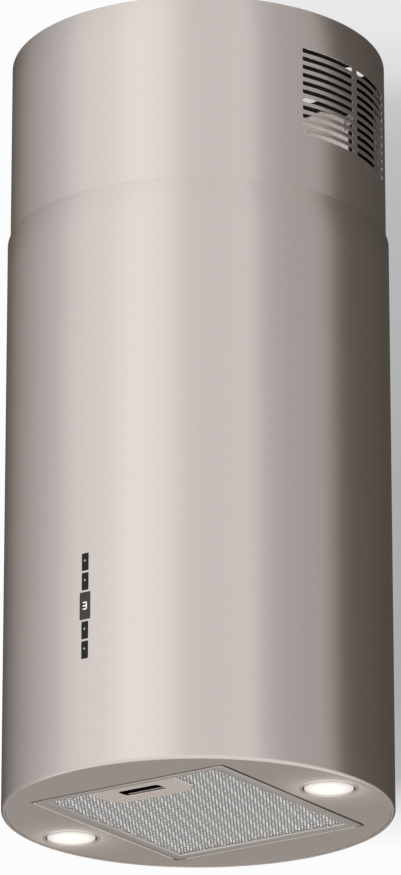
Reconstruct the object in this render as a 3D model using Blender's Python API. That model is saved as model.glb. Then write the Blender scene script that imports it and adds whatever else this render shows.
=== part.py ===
"""Island range hood: a telescopic cylinder of brushed steel that hangs from the ceiling.

Frame: origin at the centre of the ceiling plate's top face, +Z up, controls on the -Y side.
Everything that rides on the height-adjustable hood is modelled in heights above the hood's
bottom rim, and hangs from one empty that stands at the centre of that rim. All sizes are metres.
"""
import math

import bmesh
import bpy

# ---- Driving dimensions -------------------------------------------------------------------
GAP = 0.0003                 # between pieces that touch
TOTAL_HEIGHT = 0.717         # ceiling plate to bottom rim, telescope closed
BODY_RADIUS = 0.175
BODY_HEIGHT = 0.540
BODY_WALL = 0.0010
RIM_ROUND = 0.0030           # rolled bottom edge of the body shell
RIM_LIP_RADIUS = 0.1712      # inner edge of the rolled lip
SLEEVE_RADIUS = 0.1725
SLEEVE_WALL = 0.0008
SLEEVE_LENGTH = 0.4995
SHELL_STEPS = 60             # facets round the big shells

# Air vents in the sleeve, one block each side of the X axis, on both flanks
VENT_ROWS = 11
VENT_PITCH = 0.0080
VENT_HEIGHT = 0.0045
VENT_FIRST = 0.0409          # ceiling face to the middle of the first row
VENT_NEAR_ANGLE = math.radians(1.2)
VENT_FAR_ANGLE = math.radians(22.5)

# Ceiling plate and telescopic frame
PLATE_RADIUS = 0.1710
PLATE_THICK = 0.0020
DUCT_HOLE_RADIUS = 0.080
CEILING_HOLE = (0.050, 0.110, 0.009)           # place along X and Y, radius
CEILING_SLOT = (0.121, 0.079, 0.006, 0.015)    # place, half width, half length along Y
SLEEVE_BRACKET_INNER = 0.142
SLEEVE_BRACKET_OUTER = 0.1711
SLEEVE_BRACKET_DROP = 0.0165                   # ceiling face to the bracket's lower edge
POST_CORNER = 0.1175         # outer corner of each upper post, along X and along Y
POST_LEG = 0.022
POST_WALL = 0.0015
UPPER_POST_LENGTH = 0.4677
LOWER_POST_CORNER = POST_CORNER - POST_WALL - 0.0004
LOWER_POST_TOP = 0.597
FRAME_HALF = LOWER_POST_CORNER - POST_WALL - GAP
RING_BAR = 0.0158            # width of the top ring's bars

# Underside
PLATE_UNDER = 0.0010         # underside of the bottom plate above the rim
BOTTOM_THICK = 0.0012
CUTOUT_X = 0.1022            # half width of the filter opening
CUTOUT_FRONT = -0.1130
CUTOUT_REAR = 0.1148
FLANGE_TOP = 0.0217
FLANGE_WALL = 0.0012
CORNER_RELIEF = 0.0050       # the flanges stop this short of the corners, twice it along X
BASE_LOW = FLANGE_TOP + GAP
BASE_THICK = 0.0015
BASE_TOP = BASE_LOW + BASE_THICK
LAMP_X = 0.1385
LAMP_HOLE_RADIUS = 0.0236
LAMP_STEPS = 32
LENS_RADIUS = 0.0217
LENS_LOW = 0.0016
LENS_TOP = 0.0046

# Grease filter cassette
FILTER_LOW = 0.0012
FILTER_TOP = 0.0102
FILTER_SHEET = 0.0011
FILTER_X = 0.1000
FILTER_FRONT = -0.1108
FILTER_REAR = 0.1126
FILTER_WINDOW_X = 0.0889
FILTER_WINDOW_FRONT = -0.1042
FILTER_WINDOW_REAR = 0.1019
MESH_X = 0.0975
MESH_FRONT = -0.1090
MESH_REAR = 0.1080
HANDLE_X = 0.0448
HANDLE_REAR = -0.0632
TRAY_X = 0.0253              # the handle's tray, which hides the latch
TRAY_FRONT = -0.1036
TRAY_REAR = -0.0640
TRAY_WALL = 0.0010
TRAY_TOP = 0.0088
FINGER_SLOT_X = 0.0215
FINGER_SLOT_FRONT = -0.0945
FINGER_SLOT_REAR = -0.0795
HINGE_Y = 0.1080
HINGE_HEIGHT = 0.0046
HINGE_PIN_RADIUS = 0.0015
HINGE_HEAD_RADIUS = 0.0021
LATCH_TONGUE_LOW = 0.0066
LATCH_TONGUE_TOP = 0.0078
LATCH_TONGUE_HALF = 0.0110
LATCH_TONGUE_END = -0.1155
LATCH_FRONT = -0.0800
LATCH_REAR = -0.0713
LATCH_LUG_TOP = 0.0074
SPRING_HEIGHT = 0.0054

# Control strip on the front, centred on this height
CONTROL_HEIGHT = 0.1475
DISPLAY_WIDTH = 0.0110
DISPLAY_TALL = 0.0246
BUTTON_WIDTH = 0.0068
BUTTON_TALL = 0.0156
BUTTON_OFFSETS = (0.0404, 0.0224, -0.0224, -0.0404)
BUTTON_FACE = -0.1752
HOUSING_FRONT = -0.1727
HOUSING_SKIN = 0.0015
HOUSING_REAR = -0.1500
HOUSING_HALF = 0.0160
HOUSING_LOW = 0.0900
HOUSING_TOP = 0.2050
BOARD_FRONT = -0.1560

# Blower: a double-inlet fan on a horizontal shaft along X
FAN_Y = -0.035
FAN_HEIGHT = 0.300
SCROLL_START_ANGLE = math.radians(75)
SCROLL_START_RADIUS = 0.080
SCROLL_END_RADIUS = 0.115
SCROLL_STEPS = 22
SCROLL_HALF = 0.0620
SCROLL_WALL = 0.0015
SCROLL_TOP = 0.4267
SCROLL_THROAT_LEFT = -0.072
INLET_RADIUS = 0.060
IMPELLER_RADIUS = 0.070
IMPELLER_EYE = 0.062         # inner radius of the blade cage
IMPELLER_HALF = 0.052
BLADES = 24
SHAFT_RADIUS = 0.0040
COVER_INNER = SCROLL_HALF - SCROLL_WALL + 0.0001
BRACKET_LOW = 0.0685
MOUNT_CIRCLE = 0.072
MOUNT_ANGLES = (30, 150, 270)

# Outlet collar with its two backdraught flaps
CROSS_LOW = 0.4270
CROSS_TOP = 0.4285
COLLAR_INNER = 0.0740
COLLAR_OUTER = 0.0750
COLLAR_FLANGE = 0.0840
COLLAR_LOW = CROSS_TOP + GAP
COLLAR_TOP = 0.4788
AXLE_HEIGHT = 0.4420
AXLE_RADIUS = 0.0015
FLAP_RADIUS = 0.0725
FLAP_THICK = 0.0012
KNUCKLE_RADIUS = 0.0034
KNUCKLE_BORE = 0.0019


# ---- Scene, materials and solids ----------------------------------------------------------
def clear_scene():
    for obj in list(bpy.data.objects):
        bpy.data.objects.remove(obj)


def make_material(name, colour, roughness, metallic=0.0, glow=0.0):
    mat = bpy.data.materials.new(name)
    mat.use_nodes = True
    shader = mat.node_tree.nodes["Principled BSDF"]
    shader.inputs["Base Color"].default_value = (*colour, 1.0)
    shader.inputs["Roughness"].default_value = roughness
    shader.inputs["Metallic"].default_value = metallic
    if glow:
        shader.inputs["Emission Color"].default_value = (*colour, 1.0)
        shader.inputs["Emission Strength"].default_value = glow
    return mat


def make_empty(name, location, parent=None):
    empty = bpy.data.objects.new(name, None)
    bpy.context.collection.objects.link(empty)
    empty.location = location
    empty.parent = parent
    return empty


def from_bmesh(bm):
    """A working object that holds the bmesh as a closed solid with its faces pointing out."""
    bmesh.ops.recalc_face_normals(bm, faces=bm.faces)
    if bm.calc_volume(signed=True) < 0:
        bmesh.ops.reverse_faces(bm, faces=bm.faces)
    mesh = bpy.data.meshes.new("solid")
    bm.to_mesh(mesh)
    bm.free()
    obj = bpy.data.objects.new("solid", mesh)
    bpy.context.collection.objects.link(obj)
    return obj


def on_axis(axis, a, b, along):
    """Turn a point of an outline and its place along an axis into x, y and z."""
    if axis == "X":
        return (along, a, b)
    if axis == "Y":
        return (a, along, b)
    return (a, b, along)


def prism(outline, low, high, axis="Z"):
    """Extrude an outline along an axis. Outlines are (y, z) for X, (x, z) for Y, (x, y) for Z."""
    bm = bmesh.new()
    verts = [bm.verts.new(on_axis(axis, a, b, low)) for a, b in outline]
    face = bm.faces.new(verts)
    grown = bmesh.ops.extrude_face_region(bm, geom=[face])["geom"]
    top = [item for item in grown if isinstance(item, bmesh.types.BMVert)]
    bmesh.ops.translate(bm, verts=top, vec=on_axis(axis, 0.0, 0.0, high - low))
    return from_bmesh(bm)


def box(x_range, y_range, z_range):
    (x0, x1), (y0, y1), (z0, z1) = x_range, y_range, z_range
    return prism([(x0, y0), (x1, y0), (x1, y1), (x0, y1)], z0, z1)


def circle(radius, steps, centre=(0.0, 0.0)):
    points = []
    for step in range(steps):
        angle = 2 * math.pi * step / steps
        points.append((centre[0] + radius * math.cos(angle), centre[1] + radius * math.sin(angle)))
    return points


def cylinder(radius, low, high, axis="Z", centre=(0.0, 0.0), steps=24):
    return prism(circle(radius, steps, centre), low, high, axis)


def turned(profile, steps, axis="Z", centre=(0.0, 0.0)):
    """Turn a closed profile of (radius, place along the axis) points round an axis."""
    bm = bmesh.new()
    verts = [bm.verts.new((radius, 0.0, along)) for radius, along in profile]
    edges = []
    for index, (radius, _) in enumerate(profile):
        if radius or profile[index - 1][0]:      # no edge runs along the axis itself
            edges.append(bm.edges.new((verts[index - 1], verts[index])))
    bmesh.ops.spin(bm, geom=verts + edges, cent=(0, 0, 0), axis=(0, 0, 1),
                   angle=2 * math.pi, steps=steps, use_merge=True, use_duplicate=False)
    bmesh.ops.remove_doubles(bm, verts=bm.verts, dist=1e-6)
    bmesh.ops.dissolve_degenerate(bm, edges=bm.edges, dist=1e-6)
    for vert in bm.verts:
        a, b, along = vert.co
        vert.co = on_axis(axis, centre[0] + a, centre[1] + b, along)
    return from_bmesh(bm)


def arc(centre, radius, start_deg, end_deg, steps):
    """Points on an arc, both ends included."""
    points = []
    for step in range(steps + 1):
        angle = math.radians(start_deg + (end_deg - start_deg) * step / steps)
        points.append((centre[0] + radius * math.cos(angle), centre[1] + radius * math.sin(angle)))
    return points


def combine(target, others, operation):
    """Apply one Boolean for each other solid, then remove those solids."""
    for other in others:
        modifier = target.modifiers.new("combine", "BOOLEAN")
        modifier.operation = operation
        modifier.object = other
    graph = bpy.context.evaluated_depsgraph_get()
    graph.update()
    baked = bpy.data.meshes.new_from_object(target.evaluated_get(graph))
    target.modifiers.clear()
    target.data = baked
    for other in others:
        bpy.data.objects.remove(other)
    return target


def add(target, *others):
    return combine(target, others, "UNION")


def cut(target, *others):
    return combine(target, others, "DIFFERENCE")


def spun(obj, angle_deg, centre, axis="X"):
    """Turn a working solid about a line through centre, and bake the turn into its mesh."""
    angle = math.radians(angle_deg)
    cos, sin = math.cos(angle), math.sin(angle)
    for vert in obj.data.vertices:
        x, y, z = vert.co
        if axis == "X":
            a, b = y - centre[0], z - centre[1]
            vert.co = (x, centre[0] + a * cos - b * sin, centre[1] + a * sin + b * cos)
        else:
            a, b = x - centre[0], y - centre[1]
            vert.co = (centre[0] + a * cos - b * sin, centre[1] + a * sin + b * cos, z)
    return obj


def mirrored(outline, across_x, across_y):
    """Mirror an outline, keeping the order of its points."""
    return [(a * across_x, b * across_y) for a, b in outline]


def finish(obj, name, mat, parent, origin=(0.0, 0.0, 0.0)):
    """Name the solid, give it its material and hang it on its parent, origin where stated."""
    obj.name = name
    obj.data.name = name
    for vert in obj.data.vertices:
        vert.co = [value - start for value, start in zip(vert.co, origin)]
    obj.parent = parent
    obj.location = origin
    obj.data.materials.clear()
    obj.data.materials.append(mat)
    obj.data.shade_smooth()
    obj.data.set_sharp_from_angle(angle=math.radians(35))
    return obj


# ---- Ceiling frame: what stays still ------------------------------------------------------
def ceiling_plate(mat, parent):
    plate = cylinder(PLATE_RADIUS, -PLATE_THICK, 0.0, steps=SHELL_STEPS)
    holes = [cylinder(DUCT_HOLE_RADIUS, -0.01, 0.01, steps=48)]
    hole_x, hole_y, hole_radius = CEILING_HOLE
    slot_x, slot_y, half_width, half_length = CEILING_SLOT
    straight = half_length - half_width
    for side_x in (-1, 1):
        for side_y in (-1, 1):
            holes.append(cylinder(hole_radius, -0.01, 0.01, steps=16,
                                  centre=(side_x * hole_x, side_y * hole_y)))
            outline = arc((slot_x, slot_y + straight), half_width, 0, 180, 6)
            outline += arc((slot_x, slot_y - straight), half_width, 180, 360, 6)
            holes.append(prism(mirrored(outline, side_x, side_y), -0.01, 0.01))
    finish(cut(plate, *holes), "ceiling_plate", mat, parent)


def sleeve_brackets(mat, parent):
    """Curved angles under the plate, at the front and the rear, that the sleeve screws to."""
    top, sheet = -PLATE_THICK - GAP, 0.0015
    for side_y, word in ((-1, "front"), (1, "rear")):
        middle = 90 * side_y
        outside = arc((0.0, 0.0), SLEEVE_BRACKET_OUTER, middle - 20, middle + 20, 8)
        shelf_edge = arc((0.0, 0.0), SLEEVE_BRACKET_INNER, middle + 20, middle - 20, 8)
        skirt_edge = arc((0.0, 0.0), SLEEVE_BRACKET_OUTER - sheet, middle + 20, middle - 20, 8)
        shelf = prism(outside + shelf_edge, top - sheet, top)
        skirt = prism(outside + skirt_edge, -SLEEVE_BRACKET_DROP, top - sheet / 2)
        finish(add(shelf, skirt), f"sleeve_bracket_{word}", mat, parent)


def corner_post(corner, leg, low, high, side_x, side_y):
    """An upright angle bar whose outer corner points away from the middle."""
    inner, start = corner - POST_WALL, corner - leg
    outline = [(corner, start), (corner, corner), (start, corner), (start, inner),
               (inner, inner), (inner, start)]
    return prism(mirrored(outline, side_x, side_y), low, high)


def post_name(level, side_x, side_y):
    front_or_rear = "rear" if side_y > 0 else "front"
    left_or_right = "right" if side_x > 0 else "left"
    return f"{level}_post_{front_or_rear}_{left_or_right}"


def upper_posts(mat, parent):
    top = -PLATE_THICK - GAP
    for side_x in (-1, 1):
        for side_y in (-1, 1):
            post = corner_post(POST_CORNER, POST_LEG, top - UPPER_POST_LENGTH, top,
                               side_x, side_y)
            finish(post, post_name("upper", side_x, side_y), mat, parent)


def upper_sleeve(mat, parent):
    outer, inner = SLEEVE_RADIUS, SLEEVE_RADIUS - SLEEVE_WALL
    low = -GAP - SLEEVE_LENGTH
    sleeve = turned([(outer, -GAP), (outer, low), (inner, low), (inner, -GAP)], SHELL_STEPS)
    near = outer * math.sin(VENT_NEAR_ANGLE)
    far = outer * math.sin(VENT_FAR_ANGLE)
    slots = []
    for row in range(VENT_ROWS):
        middle = -VENT_FIRST - row * VENT_PITCH
        z_range = (middle - VENT_HEIGHT / 2, middle + VENT_HEIGHT / 2)
        for side_x in (-1, 1):
            for y_range in ((-far, -near), (near, far)):
                slots.append(box(sorted((side_x * 0.14, side_x * 0.18)), y_range, z_range))
    cutter = slots[0]
    for slot in slots[1:]:
        merge_meshes(cutter, slot)
    finish(cut(sleeve, cutter), "upper_sleeve", mat, parent)


def merge_meshes(target, other):
    """Put a second cutter that stands clear of the first into the same mesh."""
    bm = bmesh.new()
    bm.from_mesh(target.data)
    bm.from_mesh(other.data)
    bm.to_mesh(target.data)
    bm.free()
    bpy.data.objects.remove(other)


# ---- Hood chassis and shell ---------------------------------------------------------------
def lower_posts(mat, parent):
    leg = POST_LEG - POST_WALL - 0.0004
    for side_x in (-1, 1):
        for side_y in (-1, 1):
            post = corner_post(LOWER_POST_CORNER, leg, BASE_TOP + GAP, LOWER_POST_TOP,
                               side_x, side_y)
            finish(post, post_name("lower", side_x, side_y), mat, parent)


def chassis_base(mat, parent):
    half = LOWER_POST_CORNER + 0.0004
    base = box((-half, half), (-half, half), (BASE_LOW, BASE_TOP))
    intake = box((-0.092, 0.092), (-0.104, 0.104), (0.0, 0.05))
    finish(cut(base, intake), "chassis_base", mat, parent)


def cross_plate(mat, parent):
    plate = box((-FRAME_HALF, FRAME_HALF), (-FRAME_HALF, FRAME_HALF), (CROSS_LOW, CROSS_TOP))
    hole = cylinder(COLLAR_INNER, 0.40, 0.45, steps=48)
    finish(cut(plate, hole), "cross_plate", mat, parent)


def frame_top_ring(mat, parent):
    inside = FRAME_HALF - RING_BAR
    ring = box((-FRAME_HALF, FRAME_HALF), (-FRAME_HALF, FRAME_HALF), (0.5880, 0.5895))
    hole = box((-inside, inside), (-inside, inside), (0.58, 0.60))
    finish(cut(ring, hole), "frame_top_ring", mat, parent)


def body_shell(mat, parent):
    outer, inner = BODY_RADIUS, BODY_RADIUS - BODY_WALL
    bend = (outer - RIM_ROUND, RIM_ROUND)
    profile = [(outer, BODY_HEIGHT)]
    profile += arc(bend, RIM_ROUND, 0, -90, 4)
    profile += [(RIM_LIP_RADIUS, 0.0), (RIM_LIP_RADIUS, BODY_WALL)]
    profile += arc(bend, RIM_ROUND - BODY_WALL, -90, 0, 3)
    profile += [(inner, BODY_HEIGHT)]
    shell = turned(profile, SHELL_STEPS)
    windows = [control_opening(0.0, DISPLAY_WIDTH, DISPLAY_TALL, -0.18, -0.16)]
    for offset in BUTTON_OFFSETS:
        windows.append(control_opening(offset, BUTTON_WIDTH, BUTTON_TALL, -0.18, -0.16))
    finish(cut(shell, *windows), "body_shell", mat, parent)


def shell_brackets(mat, parent):
    """Four blocks that fasten the corner posts to the shell."""
    for side_x in (-1, 1):
        for side_y in (-1, 1):
            block = box((0.1638, 0.1728), (-0.010, 0.010), (0.060, 0.072))
            turn = math.degrees(math.atan2(side_y, side_x))
            spun(block, turn, (0.0, 0.0), axis="Z")
            name = post_name("shell_bracket", side_x, side_y).replace("_post", "")
            finish(block, name, mat, parent)


def bottom_plate(mat, parent):
    top = PLATE_UNDER + BOTTOM_THICK
    plate = cylinder(RIM_LIP_RADIUS - GAP, PLATE_UNDER, top, steps=SHELL_STEPS)
    inside = 0.0002          # the walls start a little inside the opening, which trims them
    height = (PLATE_UNDER + 0.0004, FLANGE_TOP)
    side_span = (CUTOUT_FRONT + CORNER_RELIEF, CUTOUT_REAR - CORNER_RELIEF)
    end_span = (-CUTOUT_X + 2 * CORNER_RELIEF, CUTOUT_X - 2 * CORNER_RELIEF)
    walls = []
    for side in (-1, 1):
        x_range = sorted((side * (CUTOUT_X - inside), side * (CUTOUT_X + FLANGE_WALL)))
        walls.append(box(x_range, side_span, height))
    walls.append(box(end_span, (CUTOUT_FRONT - FLANGE_WALL, CUTOUT_FRONT + inside), height))
    walls.append(box(end_span, (CUTOUT_REAR - inside, CUTOUT_REAR + FLANGE_WALL), height))
    add(plate, *walls)
    openings = [box((-CUTOUT_X, CUTOUT_X), (CUTOUT_FRONT, CUTOUT_REAR), (-0.01, 0.05))]
    for side_x in (-1, 1):
        openings.append(cylinder(LAMP_HOLE_RADIUS, -0.01, 0.01, centre=(side_x * LAMP_X, 0.0),
                                 steps=LAMP_STEPS))
        openings.append(cylinder(HINGE_PIN_RADIUS + GAP, *sorted((side_x * 0.10, side_x * 0.11)),
                                 axis="X", centre=(HINGE_Y, HINGE_HEIGHT), steps=12))
    latch_slot = (CUTOUT_FRONT - 0.005, CUTOUT_FRONT + 0.001)
    openings.append(box((-0.012, 0.012), latch_slot,
                        (LATCH_TONGUE_LOW - 0.0008, LATCH_TONGUE_TOP + 0.0006)))
    finish(cut(plate, *openings), "bottom_plate", mat, parent)


# ---- Lamps --------------------------------------------------------------------------------
def lamps(ring_mat, lens_mat, housing_mat, parent):
    for side_x, word in ((-1, "left"), (1, "right")):
        centre = (side_x * LAMP_X, 0.0)
        ring = turned([(0.0260, 0.0004), (0.0257, 0.0001), (0.0224, 0.0001), (0.0220, 0.0005),
                       (0.0220, 0.0080), (0.0232, 0.0080), (0.0232, 0.0007),
                       (0.0260, 0.0007)], LAMP_STEPS, centre=centre)
        finish(ring, f"lamp_ring_{word}", ring_mat, parent)
        lens = cylinder(LENS_RADIUS, LENS_LOW, LENS_TOP, centre=centre, steps=LAMP_STEPS)
        finish(lens, f"lamp_lens_{word}", lens_mat, parent)
        housing = turned([(0.0, 0.0083), (0.0230, 0.0083), (0.0230, 0.0160), (0.0150, 0.0200),
                          (0.0, 0.0200)], LAMP_STEPS, centre=centre)
        finish(housing, f"lamp_housing_{word}", housing_mat, parent)


# ---- Control strip ------------------------------------------------------------------------
def control_opening(offset, width, tall, front, rear):
    """A cutter for one button or the display, with its clearance all round."""
    half, rise = width / 2 + GAP, tall / 2 + GAP
    middle = CONTROL_HEIGHT + offset
    return box((-half, half), (front, rear), (middle - rise, middle + rise))


def control_housing(mat, parent):
    shell = box((-HOUSING_HALF, HOUSING_HALF), (HOUSING_FRONT, HOUSING_REAR),
                (HOUSING_LOW, HOUSING_TOP))
    skin = HOUSING_SKIN
    hollow = box((-HOUSING_HALF + skin, HOUSING_HALF - skin), (HOUSING_FRONT + skin, -0.14),
                 (HOUSING_LOW + skin, HOUSING_TOP - skin))
    openings = [control_opening(0.0, DISPLAY_WIDTH, DISPLAY_TALL, -0.18, -0.165)]
    for offset in BUTTON_OFFSETS:
        openings.append(control_opening(offset, BUTTON_WIDTH, BUTTON_TALL, -0.18, -0.165))
    finish(cut(shell, hollow, *openings), "control_housing", mat, parent)


def control_board(mat, parent):
    """Circuit board with one key switch behind each button."""
    board = box((-0.0140, 0.0140), (BOARD_FRONT, BOARD_FRONT + 0.0016), (0.0950, 0.2000))
    switches = []
    for offset in BUTTON_OFFSETS:
        middle = CONTROL_HEIGHT + offset
        switches.append(box((-0.003, 0.003), (BOARD_FRONT - 0.0022, BOARD_FRONT + 0.0005),
                            (middle - 0.003, middle + 0.003)))
    finish(add(board, *switches), "control_board", mat, parent)


def display_window(mat, parent):
    rise = DISPLAY_TALL / 2
    window = box((-DISPLAY_WIDTH / 2, DISPLAY_WIDTH / 2), (-0.1751, -0.1600),
                 (CONTROL_HEIGHT - rise, CONTROL_HEIGHT + rise))
    finish(window, "display_window", mat, parent)


def buttons(mat, parent):
    """Caps that stand through the shell, each with a flange behind the housing and a stem."""
    names = ("button_light", "button_plus", "button_minus", "button_power")
    for name, offset in zip(names, BUTTON_OFFSETS):
        middle = CONTROL_HEIGHT + offset
        half, rise = BUTTON_WIDTH / 2, BUTTON_TALL / 2
        wall_back = HOUSING_FRONT + HOUSING_SKIN + GAP
        button = box((-half, half), (BUTTON_FACE, wall_back + 0.0005),
                     (middle - rise, middle + rise))
        flange = box((-half - 0.0008, half + 0.0008), (wall_back, wall_back + 0.001),
                     (middle - rise - 0.0008, middle + rise + 0.0008))
        stem = box((-0.0015, 0.0015), (wall_back + 0.0005, -0.1600),
                   (middle - 0.0015, middle + 0.0015))
        finish(add(button, flange, stem), name, mat, parent, (0.0, BUTTON_FACE, middle))


# ---- Grease filter ------------------------------------------------------------------------
def filter_pins(mat, parent):
    for side_x, word in ((-1, "left"), (1, "right")):
        start, head, end = 0.0982, 0.1040, 0.1060
        pin = turned([(0.0, start), (HINGE_PIN_RADIUS, start), (HINGE_PIN_RADIUS, head),
                      (HINGE_HEAD_RADIUS, head), (HINGE_HEAD_RADIUS, end), (0.0, end)], 12,
                     axis="X", centre=(HINGE_Y, HINGE_HEIGHT))
        if side_x < 0:
            for vert in pin.data.vertices:
                vert.co.x = -vert.co.x
            pin.data.flip_normals()
        finish(pin, f"filter_pin_{word}", mat, parent)


def filter_frame(mat, parent, hinge):
    frame = box((-FILTER_X, FILTER_X), (FILTER_FRONT, FILTER_REAR), (FILTER_LOW, FILTER_TOP))
    sheet = FILTER_SHEET
    channel = box((-FILTER_X + sheet, FILTER_X - sheet),
                  (FILTER_FRONT + sheet, FILTER_REAR - sheet),
                  (FILTER_LOW + sheet, FILTER_TOP - sheet))
    window = box((-FILTER_WINDOW_X, FILTER_WINDOW_X),
                 (FILTER_WINDOW_FRONT, FILTER_WINDOW_REAR), (0.0, 0.02))
    tongue = box((-0.0115, 0.0115), (FILTER_FRONT - 0.002, FILTER_FRONT + 0.002),
                 (LATCH_TONGUE_LOW - 0.0004, LATCH_TONGUE_TOP + 0.0004))
    cut(frame, channel, window, tongue)
    hole = cylinder(HINGE_PIN_RADIUS + 0.0004, -0.11, 0.11, axis="X",
                    centre=(HINGE_Y, HINGE_HEIGHT), steps=12)
    finish(cut(frame, hole), "filter_frame", mat, parent, hinge)


def filter_mesh(mat, parent, hinge):
    """Stack of expanded metal, as one plain slab with a notch for the handle's tray."""
    sheet = FILTER_SHEET + GAP
    slab = box((-MESH_X, MESH_X), (MESH_FRONT, MESH_REAR),
               (FILTER_LOW + sheet, FILTER_TOP - sheet))
    side = TRAY_X + 0.0004
    notch = box((-side, side), (-0.12, TRAY_REAR + 0.0004), (0.0, 0.02))
    finish(cut(slab, notch), "filter_mesh", mat, parent, hinge)


def rounded_slot(half_x, y_range, radius):
    """Outline of a rectangle with round corners."""
    y0, y1 = y_range
    points = arc((half_x - radius, y1 - radius), radius, 0, 90, 3)
    points += arc((-half_x + radius, y1 - radius), radius, 90, 180, 3)
    points += arc((-half_x + radius, y0 + radius), radius, 180, 270, 3)
    points += arc((half_x - radius, y0 + radius), radius, 270, 360, 3)
    return points


def filter_handle(mat, parent, hinge):
    """Plate in the filter's front edge, with a tray above it that hides the latch."""
    front = FILTER_WINDOW_FRONT + GAP
    right = [(HANDLE_X, front), (HANDLE_X, HANDLE_REAR - 0.0140),
             (HANDLE_X - 0.0030, HANDLE_REAR - 0.0060), (HANDLE_X - 0.0130, HANDLE_REAR)]
    outline = right + mirrored(right[::-1], -1, 1)
    plate = prism(outline, FILTER_LOW, FILTER_LOW + FILTER_SHEET)
    tray = box((-TRAY_X, TRAY_X), (TRAY_FRONT, TRAY_REAR), (FILTER_LOW + 0.0006, TRAY_TOP))
    add(plate, tray)
    inside = box((-TRAY_X + TRAY_WALL, TRAY_X - TRAY_WALL),
                 (TRAY_FRONT + TRAY_WALL, TRAY_REAR - TRAY_WALL),
                 (FILTER_LOW + FILTER_SHEET, TRAY_TOP - 0.0007))
    finger = prism(rounded_slot(FINGER_SLOT_X, (FINGER_SLOT_FRONT, FINGER_SLOT_REAR), 0.004),
                   0.0, 0.006)
    tongue = box((-0.0115, 0.0115), (TRAY_FRONT - 0.001, TRAY_FRONT + 0.002),
                 (LATCH_TONGUE_LOW - 0.0004, TRAY_TOP - 0.0009))
    finish(cut(plate, inside, finger, tongue), "filter_handle", mat, parent, hinge)


def filter_latch(mat, parent, hinge):
    """Slider with a finger wall, a tongue that locks in the flange and a lug for its spring."""
    low = FILTER_LOW + FILTER_SHEET + GAP
    sheet, half = 0.0012, TRAY_X - TRAY_WALL - 0.0008
    slider = box((-half, half), (LATCH_FRONT, LATCH_REAR), (low, low + sheet))
    wall = box((-half, half), (LATCH_FRONT, LATCH_FRONT + sheet),
               (low + 0.0004, LATCH_TONGUE_TOP))
    tongue = box((-LATCH_TONGUE_HALF, LATCH_TONGUE_HALF),
                 (LATCH_TONGUE_END, LATCH_FRONT + sheet / 2),
                 (LATCH_TONGUE_LOW, LATCH_TONGUE_TOP))
    lug = box((-0.006, 0.006), (LATCH_REAR - sheet, LATCH_REAR), (low + 0.0004, LATCH_LUG_TOP))
    finish(add(slider, wall, tongue, lug), "filter_latch", mat, parent, hinge)


def latch_spring(mat, parent, hinge):
    """Compression coil between the latch's lug and the tray's rear wall."""
    start, end = LATCH_REAR + 0.0005, TRAY_REAR - TRAY_WALL - 0.0005
    turns, per_turn, coil, height = 4, 10, 0.0015, SPRING_HEIGHT
    curve = bpy.data.curves.new("latch_spring", "CURVE")
    curve.dimensions = "3D"
    curve.bevel_depth = 0.00022
    curve.bevel_resolution = 1
    curve.use_fill_caps = True
    spline = curve.splines.new("POLY")
    count = turns * per_turn + 1
    spline.points.add(count - 1)
    for index in range(count):
        angle = 2 * math.pi * index / per_turn
        along = start + (end - start) * index / (count - 1)
        place = (coil * math.cos(angle) - hinge[0], along - hinge[1],
                 height + coil * math.sin(angle) - hinge[2])
        spline.points[index].co = (*place, 1.0)
    curve.materials.append(mat)
    obj = bpy.data.objects.new("latch_spring", curve)
    bpy.context.collection.objects.link(obj)
    obj.parent = parent
    obj.location = hinge


# ---- Blower -------------------------------------------------------------------------------
def scroll_outline(inset, top):
    """Spiral casing with its throat, seen along X, as (y, height) points."""
    points = [(SCROLL_THROAT_LEFT + inset * 1.5, top)]
    sweep = 2 * math.pi - SCROLL_START_ANGLE
    for step in range(SCROLL_STEPS + 1):
        share = step / SCROLL_STEPS
        angle = SCROLL_START_ANGLE + sweep * share
        radius = SCROLL_START_RADIUS - inset
        radius += (SCROLL_END_RADIUS - SCROLL_START_RADIUS) * share
        points.append((FAN_Y + radius * math.cos(angle), FAN_HEIGHT + radius * math.sin(angle)))
    points.append((FAN_Y + SCROLL_END_RADIUS - inset, top))
    return points


def scroll_housing(mat, parent):
    rim_edge = COVER_INNER - GAP
    casing = prism(scroll_outline(0.0, SCROLL_TOP - 0.0005), -SCROLL_HALF, rim_edge, axis="X")
    flange = box((-0.074, 0.074), (-0.084, 0.090), (SCROLL_TOP - 0.002, SCROLL_TOP))
    add(casing, flange)
    hollow = prism(scroll_outline(SCROLL_WALL, 0.44), -SCROLL_HALF + SCROLL_WALL, 0.0598,
                   axis="X")
    mouth = prism(scroll_outline(SCROLL_WALL, 0.42), 0.05, 0.08, axis="X")
    inlet = cylinder(INLET_RADIUS, -0.08, -0.05, axis="X", centre=(FAN_Y, FAN_HEIGHT), steps=40)
    finish(cut(casing, hollow, mouth, inlet), "scroll_housing", mat, parent)


def scroll_cover(mat, parent):
    centre = (FAN_Y, FAN_HEIGHT)
    side = prism(scroll_outline(0.0, SCROLL_TOP - 0.002 - GAP), COVER_INNER,
                 COVER_INNER + SCROLL_WALL, axis="X")
    lip = cylinder(INLET_RADIUS + SCROLL_WALL, COVER_INNER + 0.0005, 0.068, axis="X",
                   centre=centre, steps=40)
    add(side, lip)
    inlet = cylinder(INLET_RADIUS, 0.05, 0.08, axis="X", centre=centre, steps=40)
    finish(cut(side, inlet), "scroll_cover", mat, parent)


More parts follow.
